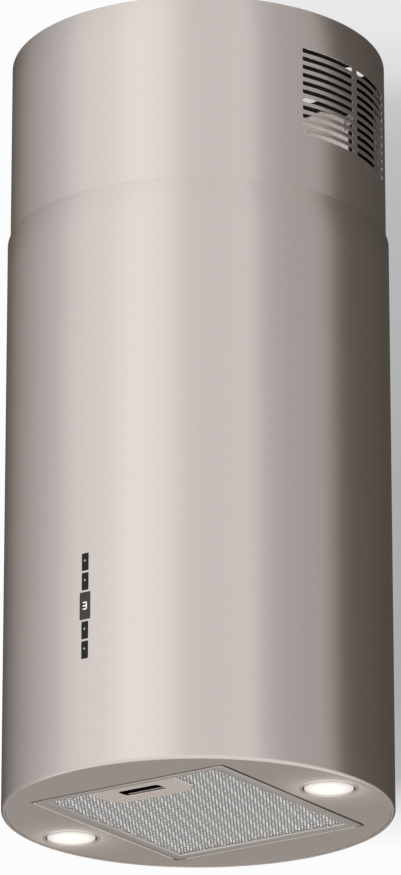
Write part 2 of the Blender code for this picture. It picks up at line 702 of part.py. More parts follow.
def impeller_disc(mat, parent, centre):
    """Centre disc that the blade cage sits on, with its hub on the shaft."""
    rim, hub = IMPELLER_EYE - GAP, 0.009
    disc = turned([(SHAFT_RADIUS + GAP, -0.010), (hub, -0.010), (hub, -0.001), (rim, -0.001),
                   (rim, 0.001), (hub, 0.001), (hub, 0.010), (SHAFT_RADIUS + GAP, 0.010)],
                  36, axis="X", centre=(centre[1], centre[2]))
    finish(disc, "impeller_disc", mat, parent, centre)


def impeller(mat, parent, centre):
    """Cage of blades, tied by a ring at each end and one in the middle."""
    origin = (centre[1], centre[2])
    parts = []
    rings = ((-IMPELLER_HALF, -IMPELLER_HALF + 0.003, IMPELLER_RADIUS),
             (-0.001, 0.001, IMPELLER_RADIUS - 0.002),
             (IMPELLER_HALF - 0.003, IMPELLER_HALF, IMPELLER_RADIUS))
    for start, end, radius in rings:
        ring = cylinder(radius, start, end, axis="X", centre=origin, steps=36)
        hole = cylinder(IMPELLER_EYE, -0.06, 0.06, axis="X", centre=origin, steps=36)
        parts.append(cut(ring, hole))
    for blade in range(BLADES):
        plate = box((-IMPELLER_HALF + 0.001, IMPELLER_HALF - 0.001),
                    (origin[0] - 0.0006, origin[0] + 0.0006),
                    (origin[1] + IMPELLER_RADIUS - 0.0075, origin[1] + IMPELLER_RADIUS - 0.0015))
        spun(plate, -35, (origin[0], origin[1] + IMPELLER_RADIUS - 0.0045))
        parts.append(spun(plate, 360 * (blade + 0.3) / BLADES, origin))
    finish(add(*parts), "impeller", mat, parent, centre)


def motor_shaft(mat, parent, centre):
    shaft = cylinder(SHAFT_RADIUS, -0.014, 0.036, axis="X", centre=(centre[1], centre[2]),
                     steps=16)
    finish(shaft, "motor_shaft", mat, parent, centre)


def motor(mat, parent):
    bore = SHAFT_RADIUS + 0.0004
    can = turned([(bore, 0.0140), (0.0300, 0.0140), (0.0420, 0.0220), (0.0420, 0.0620),
                  (0.0360, 0.0682), (0.0, 0.0682), (0.0, 0.0400), (bore, 0.0400)], 32,
                 axis="X", centre=(FAN_Y, FAN_HEIGHT))
    finish(can, "motor", mat, parent)


def motor_bracket(mat, parent):
    """Three arms across the inlet that carry the motor."""
    centre = (FAN_Y, FAN_HEIGHT)
    plate = cylinder(0.040, BRACKET_LOW, BRACKET_LOW + 0.002, axis="X", centre=centre, steps=32)
    arms = []
    for angle in MOUNT_ANGLES:
        arm = box((BRACKET_LOW, BRACKET_LOW + 0.002), (FAN_Y + 0.020, FAN_Y + 0.080),
                  (FAN_HEIGHT - 0.008, FAN_HEIGHT + 0.008))
        arms.append(spun(arm, angle, centre))
    finish(add(plate, *arms), "motor_bracket", mat, parent)


def motor_mounts(mat, parent):
    for number, angle in enumerate(MOUNT_ANGLES, start=1):
        place = (FAN_Y + MOUNT_CIRCLE * math.cos(math.radians(angle)),
                 FAN_HEIGHT + MOUNT_CIRCLE * math.sin(math.radians(angle)))
        low, high = COVER_INNER + SCROLL_WALL + GAP, BRACKET_LOW - GAP
        waist = (low + high) / 2
        bush = turned([(0.0, low), (0.007, low), (0.0055, waist), (0.007, high), (0.0, high)],
                      16, axis="X", centre=place)
        finish(bush, f"motor_mount_{number}", mat, parent)


# ---- Outlet collar and flaps --------------------------------------------------------------
def outlet_collar(mat, parent):
    ledge_low = AXLE_HEIGHT - 0.006
    profile = [(COLLAR_FLANGE, COLLAR_LOW), (COLLAR_FLANGE, COLLAR_LOW + 0.0015),
               (COLLAR_OUTER, COLLAR_LOW + 0.0015), (COLLAR_OUTER, COLLAR_TOP),
               (COLLAR_INNER, COLLAR_TOP), (COLLAR_INNER, ledge_low + 0.001),
               (COLLAR_INNER - 0.0025, ledge_low + 0.001), (COLLAR_INNER - 0.0025, ledge_low),
               (COLLAR_INNER, ledge_low), (COLLAR_INNER, COLLAR_LOW)]
    collar = turned(profile, 48)
    hole = cylinder(AXLE_RADIUS + 0.0004, -0.09, 0.09, axis="X", centre=(0.0, AXLE_HEIGHT),
                    steps=12)
    finish(cut(collar, hole), "outlet_collar", mat, parent)


def damper_axle(mat, parent):
    axle = cylinder(AXLE_RADIUS, -0.0765, 0.0765, axis="X", centre=(0.0, AXLE_HEIGHT), steps=12)
    finish(axle, "damper_axle", mat, parent)


def damper_flap(name, side_y, knuckles, mat, parent):
    """Half disc on one side of the axle, with knuckles that turn on it."""
    edge = 0.0042
    start = math.degrees(math.asin(edge / FLAP_RADIUS))
    outline = arc((0.0, 0.0), FLAP_RADIUS, start, 180 - start, 20)
    low, high = AXLE_HEIGHT - FLAP_THICK / 2, AXLE_HEIGHT + FLAP_THICK / 2
    flap = prism(mirrored(outline, 1, side_y), low, high)
    parts = []
    for x0, x1 in knuckles:
        y_range = sorted((side_y * 0.0022, side_y * (edge + 0.001)))
        parts.append(box((x0, x1), y_range, (low, high)))
        parts.append(cylinder(KNUCKLE_RADIUS, x0, x1, axis="X", centre=(0.0, AXLE_HEIGHT),
                              steps=12))
    add(flap, *parts)
    bore = cylinder(KNUCKLE_BORE, -0.08, 0.08, axis="X", centre=(0.0, AXLE_HEIGHT), steps=12)
    finish(cut(flap, bore), name, mat, parent, (0.0, 0.0, AXLE_HEIGHT))


def damper_flaps(mat, parent):
    damper_flap("damper_flap_front", -1, ((-0.055, -0.035), (0.035, 0.055)), mat, parent)
    damper_flap("damper_flap_rear", 1, ((-0.034, -0.014), (0.014, 0.034)), mat, parent)


# ---- Electrics ----------------------------------------------------------------------------
def capacitor(mat, parent):
    can = turned([(0.0, 0.345), (0.018, 0.345), (0.018, 0.402), (0.016, 0.405), (0.0, 0.405)],
                 24, centre=(-SCROLL_HALF - GAP - 0.0182, 0.052))
    finish(can, "motor_capacitor", mat, parent)


def junction_box(mat, parent):
    low, high, wall = CROSS_TOP + GAP, 0.4688, 0.0015
    case = box((-0.045, 0.045), (0.0880, 0.1125), (low, high))
    hollow = box((-0.045 + wall, 0.045 - wall), (0.0880 + wall, 0.1125 - wall),
                 (low + wall, high + 0.01))
    finish(cut(case, hollow), "junction_box", mat, parent)
    lid = box((-0.045, 0.045), (0.0880, 0.1125), (high + GAP, high + GAP + wall))
    finish(lid, "junction_box_lid", mat, parent)


def cable_gland(mat, parent):
    """Mains inlet: a hexagon, a collar and a blind bore for the cable."""
    low = 0.4688 + 2 * GAP + 0.0015
    centre = (0.025, 0.100)
    nut = cylinder(0.0090, low, low + 0.006, centre=centre, steps=6)
    collar = cylinder(0.0068, low + 0.005, low + 0.015, centre=centre, steps=16)
    bore = cylinder(0.0035, low + 0.003, low + 0.020, centre=centre, steps=12)
    finish(cut(add(nut, collar), bore), "cable_gland", mat, parent)


def led_driver(mat, parent):
    case = box((0.0945, 0.1145), (-0.040, 0.040), (BASE_TOP + GAP, 0.050))
    finish(case, "led_driver", mat, parent)


# ---- Assembly -----------------------------------------------------------------------------
def build():
    clear_scene()
    brushed = make_material("brushed_steel", (0.60, 0.56, 0.53), 0.34, 1.0)
    steel = make_material("galvanised_steel", (0.52, 0.53, 0.53), 0.45, 1.0)
    underside = make_material("satin_steel", (0.56, 0.52, 0.48), 0.38, 1.0)
    expanded = make_material("expanded_aluminium", (0.70, 0.71, 0.69), 0.42, 1.0)
    black = make_material("black_plastic", (0.03, 0.03, 0.03), 0.40)
    grey = make_material("grey_plastic", (0.30, 0.31, 0.32), 0.50)
    smoked = make_material("smoked_window", (0.07, 0.065, 0.06), 0.20)
    frosted = make_material("frosted_lens", (1.0, 0.99, 0.96), 0.35, glow=2.0)
    chrome = make_material("lamp_ring_chrome", (0.75, 0.74, 0.72), 0.18, 1.0)
    board = make_material("circuit_board", (0.05, 0.20, 0.10), 0.50)
    rubber = make_material("rubber", (0.02, 0.02, 0.02), 0.80)

    frame = make_empty("ceiling_frame_origin", (0.0, 0.0, 0.0))
    ceiling_plate(steel, frame)
    upper_posts(steel, frame)
    upper_sleeve(brushed, frame)
    sleeve_brackets(brushed, frame)

    hood = make_empty("hood_origin", (0.0, 0.0, -TOTAL_HEIGHT))
    lower_posts(steel, hood)
    chassis_base(steel, hood)
    cross_plate(steel, hood)
    frame_top_ring(steel, hood)
    body_shell(brushed, hood)
    shell_brackets(steel, hood)
    bottom_plate(underside, hood)
    lamps(chrome, frosted, grey, hood)
    control_housing(black, hood)
    control_board(board, hood)
    display_window(smoked, hood)
    buttons(black, hood)

    hinge = (0.0, HINGE_Y, HINGE_HEIGHT)
    filter_pins(steel, hood)
    filter_frame(underside, hood, hinge)
    filter_mesh(expanded, hood, hinge)
    filter_handle(underside, hood, hinge)
    filter_latch(underside, hood, hinge)
    latch_spring(steel, hood, hinge)

    fan = (0.0, FAN_Y, FAN_HEIGHT)
    scroll_housing(grey, hood)
    scroll_cover(grey, hood)
    impeller_disc(black, hood, fan)
    impeller(black, hood, fan)
    motor_shaft(steel, hood, fan)
    motor(steel, hood)
    motor_bracket(steel, hood)
    motor_mounts(rubber, hood)
    outlet_collar(grey, hood)
    damper_axle(steel, hood)
    damper_flaps(black, hood)

    capacitor(grey, hood)
    junction_box(grey, hood)
    cable_gland(black, hood)
    led_driver(grey, hood)


build()
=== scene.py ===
import math

import bmesh
import bpy
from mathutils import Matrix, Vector


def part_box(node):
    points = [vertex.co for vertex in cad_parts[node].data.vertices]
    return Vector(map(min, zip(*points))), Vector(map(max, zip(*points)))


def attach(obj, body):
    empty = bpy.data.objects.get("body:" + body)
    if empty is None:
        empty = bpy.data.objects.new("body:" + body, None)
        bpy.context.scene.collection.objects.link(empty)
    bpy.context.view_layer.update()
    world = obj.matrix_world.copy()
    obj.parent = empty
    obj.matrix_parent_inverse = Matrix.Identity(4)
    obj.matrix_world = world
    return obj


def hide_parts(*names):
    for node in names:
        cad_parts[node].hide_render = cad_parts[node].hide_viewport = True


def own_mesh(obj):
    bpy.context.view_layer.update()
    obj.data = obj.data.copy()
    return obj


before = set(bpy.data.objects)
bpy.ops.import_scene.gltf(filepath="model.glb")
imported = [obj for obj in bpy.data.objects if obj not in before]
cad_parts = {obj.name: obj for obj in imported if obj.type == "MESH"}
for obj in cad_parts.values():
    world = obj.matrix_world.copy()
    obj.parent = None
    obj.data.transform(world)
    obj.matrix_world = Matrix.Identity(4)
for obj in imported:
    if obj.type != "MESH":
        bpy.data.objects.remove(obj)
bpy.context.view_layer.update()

# ---- Places and sizes read from the frame ----
SHELL_LOW, SHELL_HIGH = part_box("body_shell")
SLEEVE_LOW, SLEEVE_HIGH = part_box("upper_sleeve")
LENS_LOW, LENS_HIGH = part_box("lamp_lens_right")
LAMP_X = (LENS_LOW.x + LENS_HIGH.x) / 2
LAMP_RADIUS = (LENS_HIGH.x - LENS_LOW.x) / 2
RIM_Z = SHELL_LOW.z                      # the hood's bottom rim
BODY_RADIUS = SHELL_HIGH.x
SLEEVE_RADIUS = SLEEVE_HIGH.x
BODY_WALL = 0.0010
SLEEVE_WALL = 0.0008
EDGE_ROUND = 0.0002                      # on the open edges of the cylinder walls

# ---- The camera's place ----
VIEW_AZIMUTH = math.radians(34.4)        # from the front, towards the right flank
VIEW_DISTANCE = 4.914                    # from the cylinder's axis, level
VIEW_DROP = 1.4315                       # below the bottom rim
VIEW_TILT = math.radians(19.99)          # looking up
LENS = 236.9
SHIFT_X = 0.00255
FLOOR_Z = -14.0

# ---- Studio: brightness of the surroundings by direction ----
# Degrees to the right of the camera, seen from the object, and the brightness there.
WALL_LIGHT = (
    (-180, 0.12), (-165, 0.10), (-154, 0.16), (-140, 0.31), (-128, 0.44), (-110, 0.59),
    (-92, 0.75), (-80, 0.98), (-66, 1.04), (-54, 1.09), (-40, 1.26), (-26, 1.21), (-16, 1.10),
    (-6, 0.91), (8, 0.87), (32, 0.94), (40, 0.67), (52, 0.56), (66, 0.53), (78, 0.55),
    (86, 0.40), (94, 0.18), (104, 0.145), (125, 0.125), (150, 0.090), (170, 0.085), (180, 0.12),
)
LOW_LIGHT = (
    (-180, 0.44), (-140, 0.46), (-90, 0.80), (-40, 1.10), (0, 1.15), (60, 0.95), (110, 0.75),
    (150, 0.50), (180, 0.44),
)
FLOOR_LIGHT = 1.05
OVERHEAD_LIGHT = 0.84
STUDIO_STRENGTH = 2.0
# Degrees above level, and how bright the backdrop is to the right of the hood, where the hood's
# soft shadow is painted on it.
BACKDROP_LOW, BACKDROP_SPAN = 15.0, 10.0
BACKDROP_WHITE = 0.97
PAINTED_BACKDROP_SHADOW = (
    (15.9, 0.97), (16.2, 0.85), (16.35, 0.72), (16.6, 0.48), (17.4, 0.41), (19.5, 0.42),
    (21.4, 0.47), (22.3, 0.49), (22.9, 0.52), (23.3, 0.58), (23.6, 0.72), (24.0, 0.80),
    (24.5, 0.83),
)


def warm(value):
    """Dim surroundings are a little brown, bright ones white."""
    share = min(1.0, value / 0.3)
    return (value, value * (0.86 + 0.12 * share), value * (0.75 + 0.25 * share))


# ---- Node helpers ----
class Nodes:
    """A few short calls for building a node tree."""

    def __init__(self, tree):
        self.tree = tree

    def new(self, kind, **settings):
        node = self.tree.nodes.new(kind)
        for key, value in settings.items():
            setattr(node, key, value)
        return node

    def link(self, source, target):
        self.tree.links.new(source, target)

    def feed(self, node, socket, value):
        """Link an output to a socket, or set the socket's own value."""
        if isinstance(value, bpy.types.NodeSocket):
            self.link(value, node.inputs[socket])
        else:
            node.inputs[socket].default_value = value

    def math(self, operation, a, b=0.0):
        node = self.new("ShaderNodeMath", operation=operation)
        self.feed(node, 0, a)
        self.feed(node, 1, b)
        return node.outputs[0]

    def ramp(self, factor, stops):
        """Colours or greys by place along 0 to 1."""
        node = self.new("ShaderNodeValToRGB")
        elements = node.color_ramp.elements
        while len(elements) > 1:
            elements.remove(elements[-1])
        for index, (place, value) in enumerate(stops):
            element = elements[0] if index == 0 else elements.new(place)
            element.position = place
            colour = value if isinstance(value, tuple) else (value, value, value)
            element.color = (*colour, 1.0)
        self.feed(node, 0, factor)
        return node.outputs[0]

    def mix(self, factor, a, b, blend="MIX"):
        node = self.new("ShaderNodeMix", data_type="RGBA", blend_type=blend)
        self.feed(node, 0, factor)
        self.feed(node, 6, a if isinstance(a, bpy.types.NodeSocket) else (*a, 1.0))
        self.feed(node, 7, b if isinstance(b, bpy.types.NodeSocket) else (*b, 1.0))
        return node.outputs[2]

    def place(self, scale=(1, 1, 1), rotation=(0, 0, 0)):
        """Object coordinates, scaled and turned."""
        coords = self.new("ShaderNodeTexCoord")
        mapping = self.new("ShaderNodeMapping")
        self.feed(mapping, "Scale", scale)
        self.feed(mapping, "Rotation", rotation)
        self.link(coords.outputs["Object"], mapping.inputs["Vector"])
        return mapping.outputs["Vector"]

    def noise(self, vector, scale, detail=3.0, roughness=0.5):
        node = self.new("ShaderNodeTexNoise")
        self.feed(node, "Vector", vector)
        self.feed(node, "Scale", scale)
        self.feed(node, "Detail", detail)
        self.feed(node, "Roughness", roughness)
        return node.outputs["Fac"]

    def from_lamps(self, reach):
        """Distance from the middle of the nearer lamp, as a share of the reach."""
        split = self.new("ShaderNodeSeparateXYZ")
        self.link(self.place(), split.inputs[0])
        across = self.math("SUBTRACT", self.math("ABSOLUTE", split.outputs["X"]), LAMP_X)
        square = self.math("ADD", self.math("MULTIPLY", across, across),
                           self.math("MULTIPLY", split.outputs["Y"], split.outputs["Y"]))
        return self.math("DIVIDE", self.math("SQRT", square), reach)

    def fade(self, value, start, end):
        """0 before the start and 1 past the end, with a soft change between."""
        node = self.new("ShaderNodeMapRange", interpolation_type="SMOOTHSTEP")
        self.feed(node, "Value", value)
        self.feed(node, "From Min", start)
        self.feed(node, "From Max", end)
        return node.outputs["Result"]

    def bump(self, height, strength, distance):
        node = self.new("ShaderNodeBump")
        self.feed(node, "Height", height)
        self.feed(node, "Strength", strength)
        self.feed(node, "Distance", distance)
        return node.outputs["Normal"]


def toned(colour, factor):
    """A lighter or darker colour."""
    return tuple(min(1.0, c * factor) for c in colour)


def new_material(name):
    """A material with its shader and a helper for the rest of its nodes."""
    mat = bpy.data.materials.new(name)
    mat.use_nodes = True
    nodes = Nodes(mat.node_tree)
    shader = mat.node_tree.nodes["Principled BSDF"]
    return mat, nodes, shader


# ---- Materials ----
STREAK_DEPTH = 0.00002
SPILL_REACH = 0.065
SPILL_STOPS = ((0.0, (1.0, 0.90, 0.78)), (0.42, (1.0, 0.90, 0.78)), (0.62, (0.30, 0.26, 0.22)),
               (1.0, (0.0, 0.0, 0.0)))


def brushed_steel(name, colour, roughness, streak_scale, anisotropy=0.0, metallic=1.0,
                  lamp_spill=0.0, spread=0.015, bounce=0.0):
    """Metal with fine streaks: streak_scale is how fine they are along X, Y and Z.

    lamp_spill is a warm glow near the lamps, and bounce an even glow in the metal's own
    tone. Both are emission.
    """
    mat, nodes, shader = new_material(name)
    fine = nodes.noise(nodes.place(streak_scale), 1.0, detail=3.0, roughness=0.6)
    coarse = nodes.noise(nodes.place(tuple(s * 0.23 for s in streak_scale)), 1.0, detail=2.0)
    streaks = nodes.math("ADD", nodes.math("MULTIPLY", fine, 0.9),
                         nodes.math("MULTIPLY", coarse, 0.1))
    tone = nodes.ramp(streaks, [(0.35, toned(colour, 1 - spread)),
                                (0.65, toned(colour, 1 + spread))])
    nodes.feed(shader, "Base Color", tone)
    rough = nodes.new("ShaderNodeMapRange")
    nodes.feed(rough, "Value", streaks)
    limits = {"From Min": 0.3, "From Max": 0.7, "To Min": roughness - 0.01,
              "To Max": roughness + 0.01}
    for socket, value in limits.items():
        nodes.feed(rough, socket, value)
    nodes.feed(shader, "Roughness", rough.outputs["Result"])
    nodes.feed(shader, "Normal", nodes.bump(streaks, 0.04, STREAK_DEPTH))
    nodes.feed(shader, "Metallic", metallic)
    if lamp_spill:
        spill = nodes.ramp(nodes.from_lamps(SPILL_REACH), SPILL_STOPS)
        nodes.feed(shader, "Emission Color", spill)
        nodes.feed(shader, "Emission Strength", lamp_spill)
    if bounce:
        nodes.feed(shader, "Emission Color", tone)
        nodes.feed(shader, "Emission Strength", bounce)
    if anisotropy:
        nodes.feed(shader, "Anisotropic", anisotropy)
        nodes.feed(shader, "Anisotropic Rotation", 0.25)
        tangent = nodes.new("ShaderNodeTangent", direction_type="RADIAL", axis="Z")
        nodes.feed(shader, "Tangent", tangent.outputs["Tangent"])
    return mat


def galvanised_steel(name, colour):
    """Zinc-coated sheet: soft spangle patches that differ in tone and gloss."""
    mat, nodes, shader = new_material(name)
    cells = nodes.new("ShaderNodeTexVoronoi", feature="F1")
    nodes.feed(cells, "Vector", nodes.place())
    nodes.feed(cells, "Scale", 140.0)
    patches = nodes.new("ShaderNodeSeparateColor")
    nodes.feed(patches, "Color", cells.outputs["Color"])
    cloud = nodes.noise(nodes.place(), 30.0, detail=4.0)
    amount = nodes.math("ADD", nodes.math("MULTIPLY", patches.outputs[0], 0.5),
                        nodes.math("MULTIPLY", cloud, 0.5))
    tone = nodes.ramp(amount, [(0.2, toned(colour, 0.84)), (0.8, toned(colour, 1.12))])
    nodes.feed(shader, "Base Color", tone)
    nodes.feed(shader, "Roughness", nodes.ramp(amount, [(0.2, 0.34), (0.8, 0.52)]))
    nodes.feed(shader, "Normal", nodes.bump(cloud, 0.15, 0.0001))
    nodes.feed(shader, "Metallic", 1.0)
    return mat


def moulded_plastic(name, colour, roughness, grain=900.0, depth=0.00003, gloss=0.5):
    """Plastic with a fine spark-eroded grain and a little unevenness."""
    mat, nodes, shader = new_material(name)
    grainy = nodes.noise(nodes.place(), grain, detail=2.0)
    cloud = nodes.noise(nodes.place(), 18.0, detail=3.0)
    tone = nodes.ramp(cloud, [(0.3, toned(colour, 0.88)), (0.7, toned(colour, 1.12))])
    nodes.feed(shader, "Base Color", tone)
    rough = nodes.ramp(cloud, [(0.3, roughness - 0.05), (0.7, roughness + 0.06)])
    nodes.feed(shader, "Roughness", rough)
    nodes.feed(shader, "Normal", nodes.bump(grainy, 0.3, depth))
    nodes.feed(shader, "Specular IOR Level", gloss)
    return mat


def lamp_glass(name, strength, radius):
    """Frosted lens, lit from behind: brightest in the middle, dimmer in its pattern."""
    mat, nodes, shader = new_material(name)
    fall = nodes.ramp(nodes.from_lamps(radius), [(0.0, (1.0, 0.99, 0.96)),
                                                 (0.60, (0.96, 0.94, 0.90)),
                                                 (0.90, (0.74, 0.70, 0.66)),
                                                 (1.0, (0.56, 0.52, 0.48))])
    speckle = nodes.noise(nodes.place(), 700.0, detail=2.0)
    pattern = nodes.ramp(speckle, [(0.3, (0.90, 0.88, 0.85)), (0.7, (1.0, 1.0, 1.0))])
    glow = nodes.mix(1.0, fall, pattern, "MULTIPLY")
    nodes.feed(shader, "Emission Color", glow)
    nodes.feed(shader, "Emission Strength", strength)
    shade = nodes.mix(1.0, pattern, (0.22, 0.22, 0.21), "MULTIPLY")
    nodes.feed(shader, "Base Color", shade)
    nodes.feed(shader, "Roughness", 0.35)
    nodes.feed(shader, "Normal", nodes.bump(speckle, 0.3, 0.0001))
    return mat


def circuit_board():
    """Green lacquer with a pattern of tracks."""
    mat, nodes, shader = new_material("board_lacquer")
    tracks = nodes.new("ShaderNodeTexBrick")
    nodes.feed(tracks, "Vector", nodes.place((1, 1, 1), (math.radians(90), 0, 0)))
    nodes.feed(tracks, "Scale", 160.0)
    nodes.feed(tracks, "Color1", (0.02, 0.11, 0.05, 1.0))
    nodes.feed(tracks, "Color2", (0.03, 0.16, 0.07, 1.0))
    nodes.feed(tracks, "Mortar", (0.05, 0.24, 0.11, 1.0))
    nodes.feed(shader, "Base Color", tracks.outputs["Color"])
    nodes.feed(shader, "Roughness", 0.35)
    nodes.feed(shader, "Normal", nodes.bump(tracks.outputs["Fac"], 0.4, 0.00005))
    return mat


STEEL_COLOUR = (0.655, 0.607, 0.565)
MATERIALS = {
    "body": brushed_steel("body_brushed", STEEL_COLOUR, 0.28, (9, 9, 2600), 0.80),
    "inner": brushed_steel("inner_wall", (0.70, 0.64, 0.60), 0.42, (9, 9, 1800), metallic=0.4),
    "under": brushed_steel("under_satin", (0.615, 0.563, 0.510), 0.34, (2200, 12, 60),
                           lamp_spill=0.16),
    "frame": brushed_steel("filter_satin", (0.60, 0.56, 0.52), 0.36, (1800, 12, 60)),
    "handle": brushed_steel("handle_satin", (0.97, 0.90, 0.82), 0.34, (1800, 12, 60)),
    # Lit and shaded copies of one aluminium: the bright copy glows with painted light, and the
    # darker copy below is painted shade for strands tilted away.
    "mesh": brushed_steel("expanded_aluminium", (1.0, 0.99, 0.965), 0.32, (280, 280, 280),
                          metallic=0.05, spread=0.30, bounce=0.30),
    "mesh_painted_shade": brushed_steel("expanded_painted_shade", (0.34, 0.335, 0.325), 0.40, (300, 300, 300)),
    # Near-black copy of the filter's aluminium: painted shade for the inner sheet and the pack.
    "mesh_painted_dark_shade": brushed_steel("inner_mesh_painted_shade", (0.06, 0.059, 0.057), 0.50, (300, 300, 300)),
    "chrome": brushed_steel("lamp_chrome", (0.74, 0.69, 0.65), 0.24, (300, 300, 300)),
    "plain_steel": brushed_steel("plain_steel", (0.55, 0.55, 0.55), 0.35, (120, 120, 120)),
    "zinc": galvanised_steel("galvanised", (0.58, 0.59, 0.60)),
    # Near-black, used for the ceiling plate, the posts, the handle's tray and the latch's wall.
    "dark_paint": moulded_plastic("dark_paint", (0.004, 0.004, 0.004), 0.70, 500.0, gloss=0.1),
    "black": moulded_plastic("black_plastic", (0.007, 0.006, 0.005), 0.40, gloss=0.26),
    # Near-black gasket rubber: partly a real gasket, partly painted shade for the dark gap round
    # the lamp glass.
    "gasket_and_shadow_gap": moulded_plastic("gasket_and_shadow_gap", (0.030, 0.026, 0.024), 0.60, 700.0),
    "grey": moulded_plastic("grey_plastic", (0.17, 0.175, 0.18), 0.48),
    "white_plastic": moulded_plastic("white_plastic", (0.62, 0.62, 0.60), 0.42),
    "rubber": moulded_plastic("rubber", (0.018, 0.018, 0.018), 0.75, 400.0, 0.00006),
    "lamp": lamp_glass("lamp_frosted", 0.95, LAMP_RADIUS),
    "board": circuit_board(),
}


# ---- Mesh helpers ----
def new_piece(name, bm, mat, body, sharp=35.0):
    """Turn a bmesh into a named piece that rides on a body."""
    bmesh.ops.recalc_face_normals(bm, faces=bm.faces)
    mesh = bpy.data.meshes.new(name)
    bm.to_mesh(mesh)
    bm.free()
    obj = bpy.data.objects.new(name, mesh)
    bpy.context.scene.collection.objects.link(obj)
    for item in mat if isinstance(mat, list) else [mat]:
        mesh.materials.append(item)
    mesh.shade_smooth()
    mesh.set_sharp_from_angle(angle=math.radians(sharp))
    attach(obj, body)
    return obj


def soften(obj, width, segments=2):
    """Round the sharp edges of a piece."""
    bevel = obj.modifiers.new("soften", "BEVEL")
    bevel.width = width
    bevel.segments = segments
    bevel.limit_method = "ANGLE"
    bevel.angle_limit = math.radians(40)
    bevel.harden_normals = True


def arc(centre, radius, start_deg, end_deg, steps):
    """Points along part of a circle, both ends included."""
    points = []
    for step in range(steps + 1):
        angle = math.radians(start_deg + (end_deg - start_deg) * step / steps)
        points.append((centre[0] + radius * math.cos(angle),
                       centre[1] + radius * math.sin(angle)))
    return points


def turned(profile, steps, centre, closed=True):
    """Turn a profile of (radius, height) points round a vertical axis."""
    bm = bmesh.new()
    rings = []
    for radius, height in profile:
        if radius < 1e-6:
            rings.append([bm.verts.new((centre[0], centre[1], height))] * steps)
            continue
        ring = []
        for step in range(steps):
            angle = 2 * math.pi * step / steps
            ring.append(bm.verts.new((centre[0] + radius * math.cos(angle),
                                      centre[1] + radius * math.sin(angle), height)))
        rings.append(ring)
    for low, high in zip(rings, rings[1:] + (rings[:1] if closed else [])):
        for i in range(steps):
            corners = [low[i - 1], low[i], high[i], high[i - 1]]
            unique = list(dict.fromkeys(corners))
            if len(unique) > 2:
                bm.faces.new(unique)
    return bm


def box(bm, low, high):
    """Add a box to a bmesh."""
    made = bmesh.ops.create_cube(bm, size=1.0)["verts"]
    size = [h - l for l, h in zip(low, high)]
    centre = [(l + h) / 2 for l, h in zip(low, high)]
    bmesh.ops.scale(bm, verts=made, vec=size)
    bmesh.ops.translate(bm, verts=made, vec=centre)


def plate_with_holes(outline, holes, low, high):
    """Flat plate from an outline and the outlines of its holes."""
    bm = bmesh.new()
    edges = []
    for loop in [outline, *holes]:
        verts = [bm.verts.new((x, y, low)) for x, y in loop]
        edges += [bm.edges.new((verts[i - 1], verts[i])) for i in range(len(verts))]
    bmesh.ops.triangle_fill(bm, use_beauty=True, edges=edges)
    bmesh.ops.dissolve_limit(bm, angle_limit=0.01, verts=bm.verts, edges=bm.edges)
    grown = bmesh.ops.extrude_face_region(bm, geom=list(bm.faces))["geom"]
    top = [item for item in grown if isinstance(item, bmesh.types.BMVert)]
    bmesh.ops.translate(bm, verts=top, vec=(0, 0, high - low))
    return bm


def circle(radius, steps, centre=(0.0, 0.0)):
    """Points evenly round a circle."""
    return [(centre[0] + radius * math.cos(2 * math.pi * i / steps),
             centre[1] + radius * math.sin(2 * math.pi * i / steps)) for i in range(steps)]


def rounded_rectangle(x_half, y_low, y_high, radius, steps):
    """Rectangle across the middle, with arcs for corners."""
    points = arc((x_half - radius, y_high - radius), radius, 0, 90, steps)
    points += arc((-x_half + radius, y_high - radius), radius, 90, 180, steps)
    points += arc((-x_half + radius, y_low + radius), radius, 180, 270, steps)
    points += arc((x_half - radius, y_low + radius), radius, 270, 360, steps)
    return points


# ---- Cylinder walls with openings ----
class Opening:
    """A rectangular opening in a cylinder wall, with rounded corners."""

    def __init__(self, a_low, a_high, z_low, z_high, corner):
        self.a_low, self.a_high = a_low, a_high
        self.z_low, self.z_high = z_low, z_high
        self.corner = corner

    def columns(self, radius):
        """Angles that the grid needs, closer together round the corners."""
        steps = [0.0, 0.15, 0.45, 1.0]
        reach = self.corner / radius
        near = [self.a_low + reach * s for s in steps]
        far = [self.a_high - reach * s for s in steps]
        return near + far

    def holds(self, angle, z):
        inside_a = self.a_low < angle < self.a_high
        return inside_a and self.z_low < z < self.z_high

    def edge_shift(self, angle, z, radius):
        """How far an edge vertex moves towards the middle, to round the corner."""
        tiny = 1e-7
        if not self.a_low - tiny <= angle <= self.a_high + tiny:
            return 0.0
        on_low, on_high = abs(z - self.z_low) < tiny, abs(z - self.z_high) < tiny
        if not (on_low or on_high):
            return 0.0
        from_end = min(angle - self.a_low, self.a_high - angle) * radius
        if from_end >= self.corner:
            return 0.0
        along = self.corner - max(0.0, from_end)
        inset = self.corner - math.sqrt(max(0.0, self.corner ** 2 - along ** 2))
        inset = min(inset, self.corner * 0.8)
        return inset if on_low else -inset


def merged(values):
    """Sorted values with near repeats left out."""
    tiny = 1e-6
    kept = []
    for value in sorted(values):
        if not kept or value - kept[-1] > tiny:
            kept.append(value)
    return kept


def grid_angles(openings, base_steps, radius):
    """Even steps round the cylinder, with the openings' own angles in place of near ones."""
    even = [2 * math.pi * i / base_steps - math.pi for i in range(base_steps)]
    exact = [a for o in openings for a in o.columns(radius)]
    margin = math.radians(0.35)
    return merged([a for a in even if all(abs(a - e) > margin for e in exact)] + exact)


def grid_rows(bm, profile, angles, openings, radius):
    """One row of vertices for each point of a profile."""
    rows = []
    for r, z in profile:
        row = []
        for angle in angles:
            shift = sum(o.edge_shift(angle, z, radius) for o in openings)
            row.append(bm.verts.new((r * math.cos(angle), r * math.sin(angle), z + shift)))
        rows.append(row)
    return rows


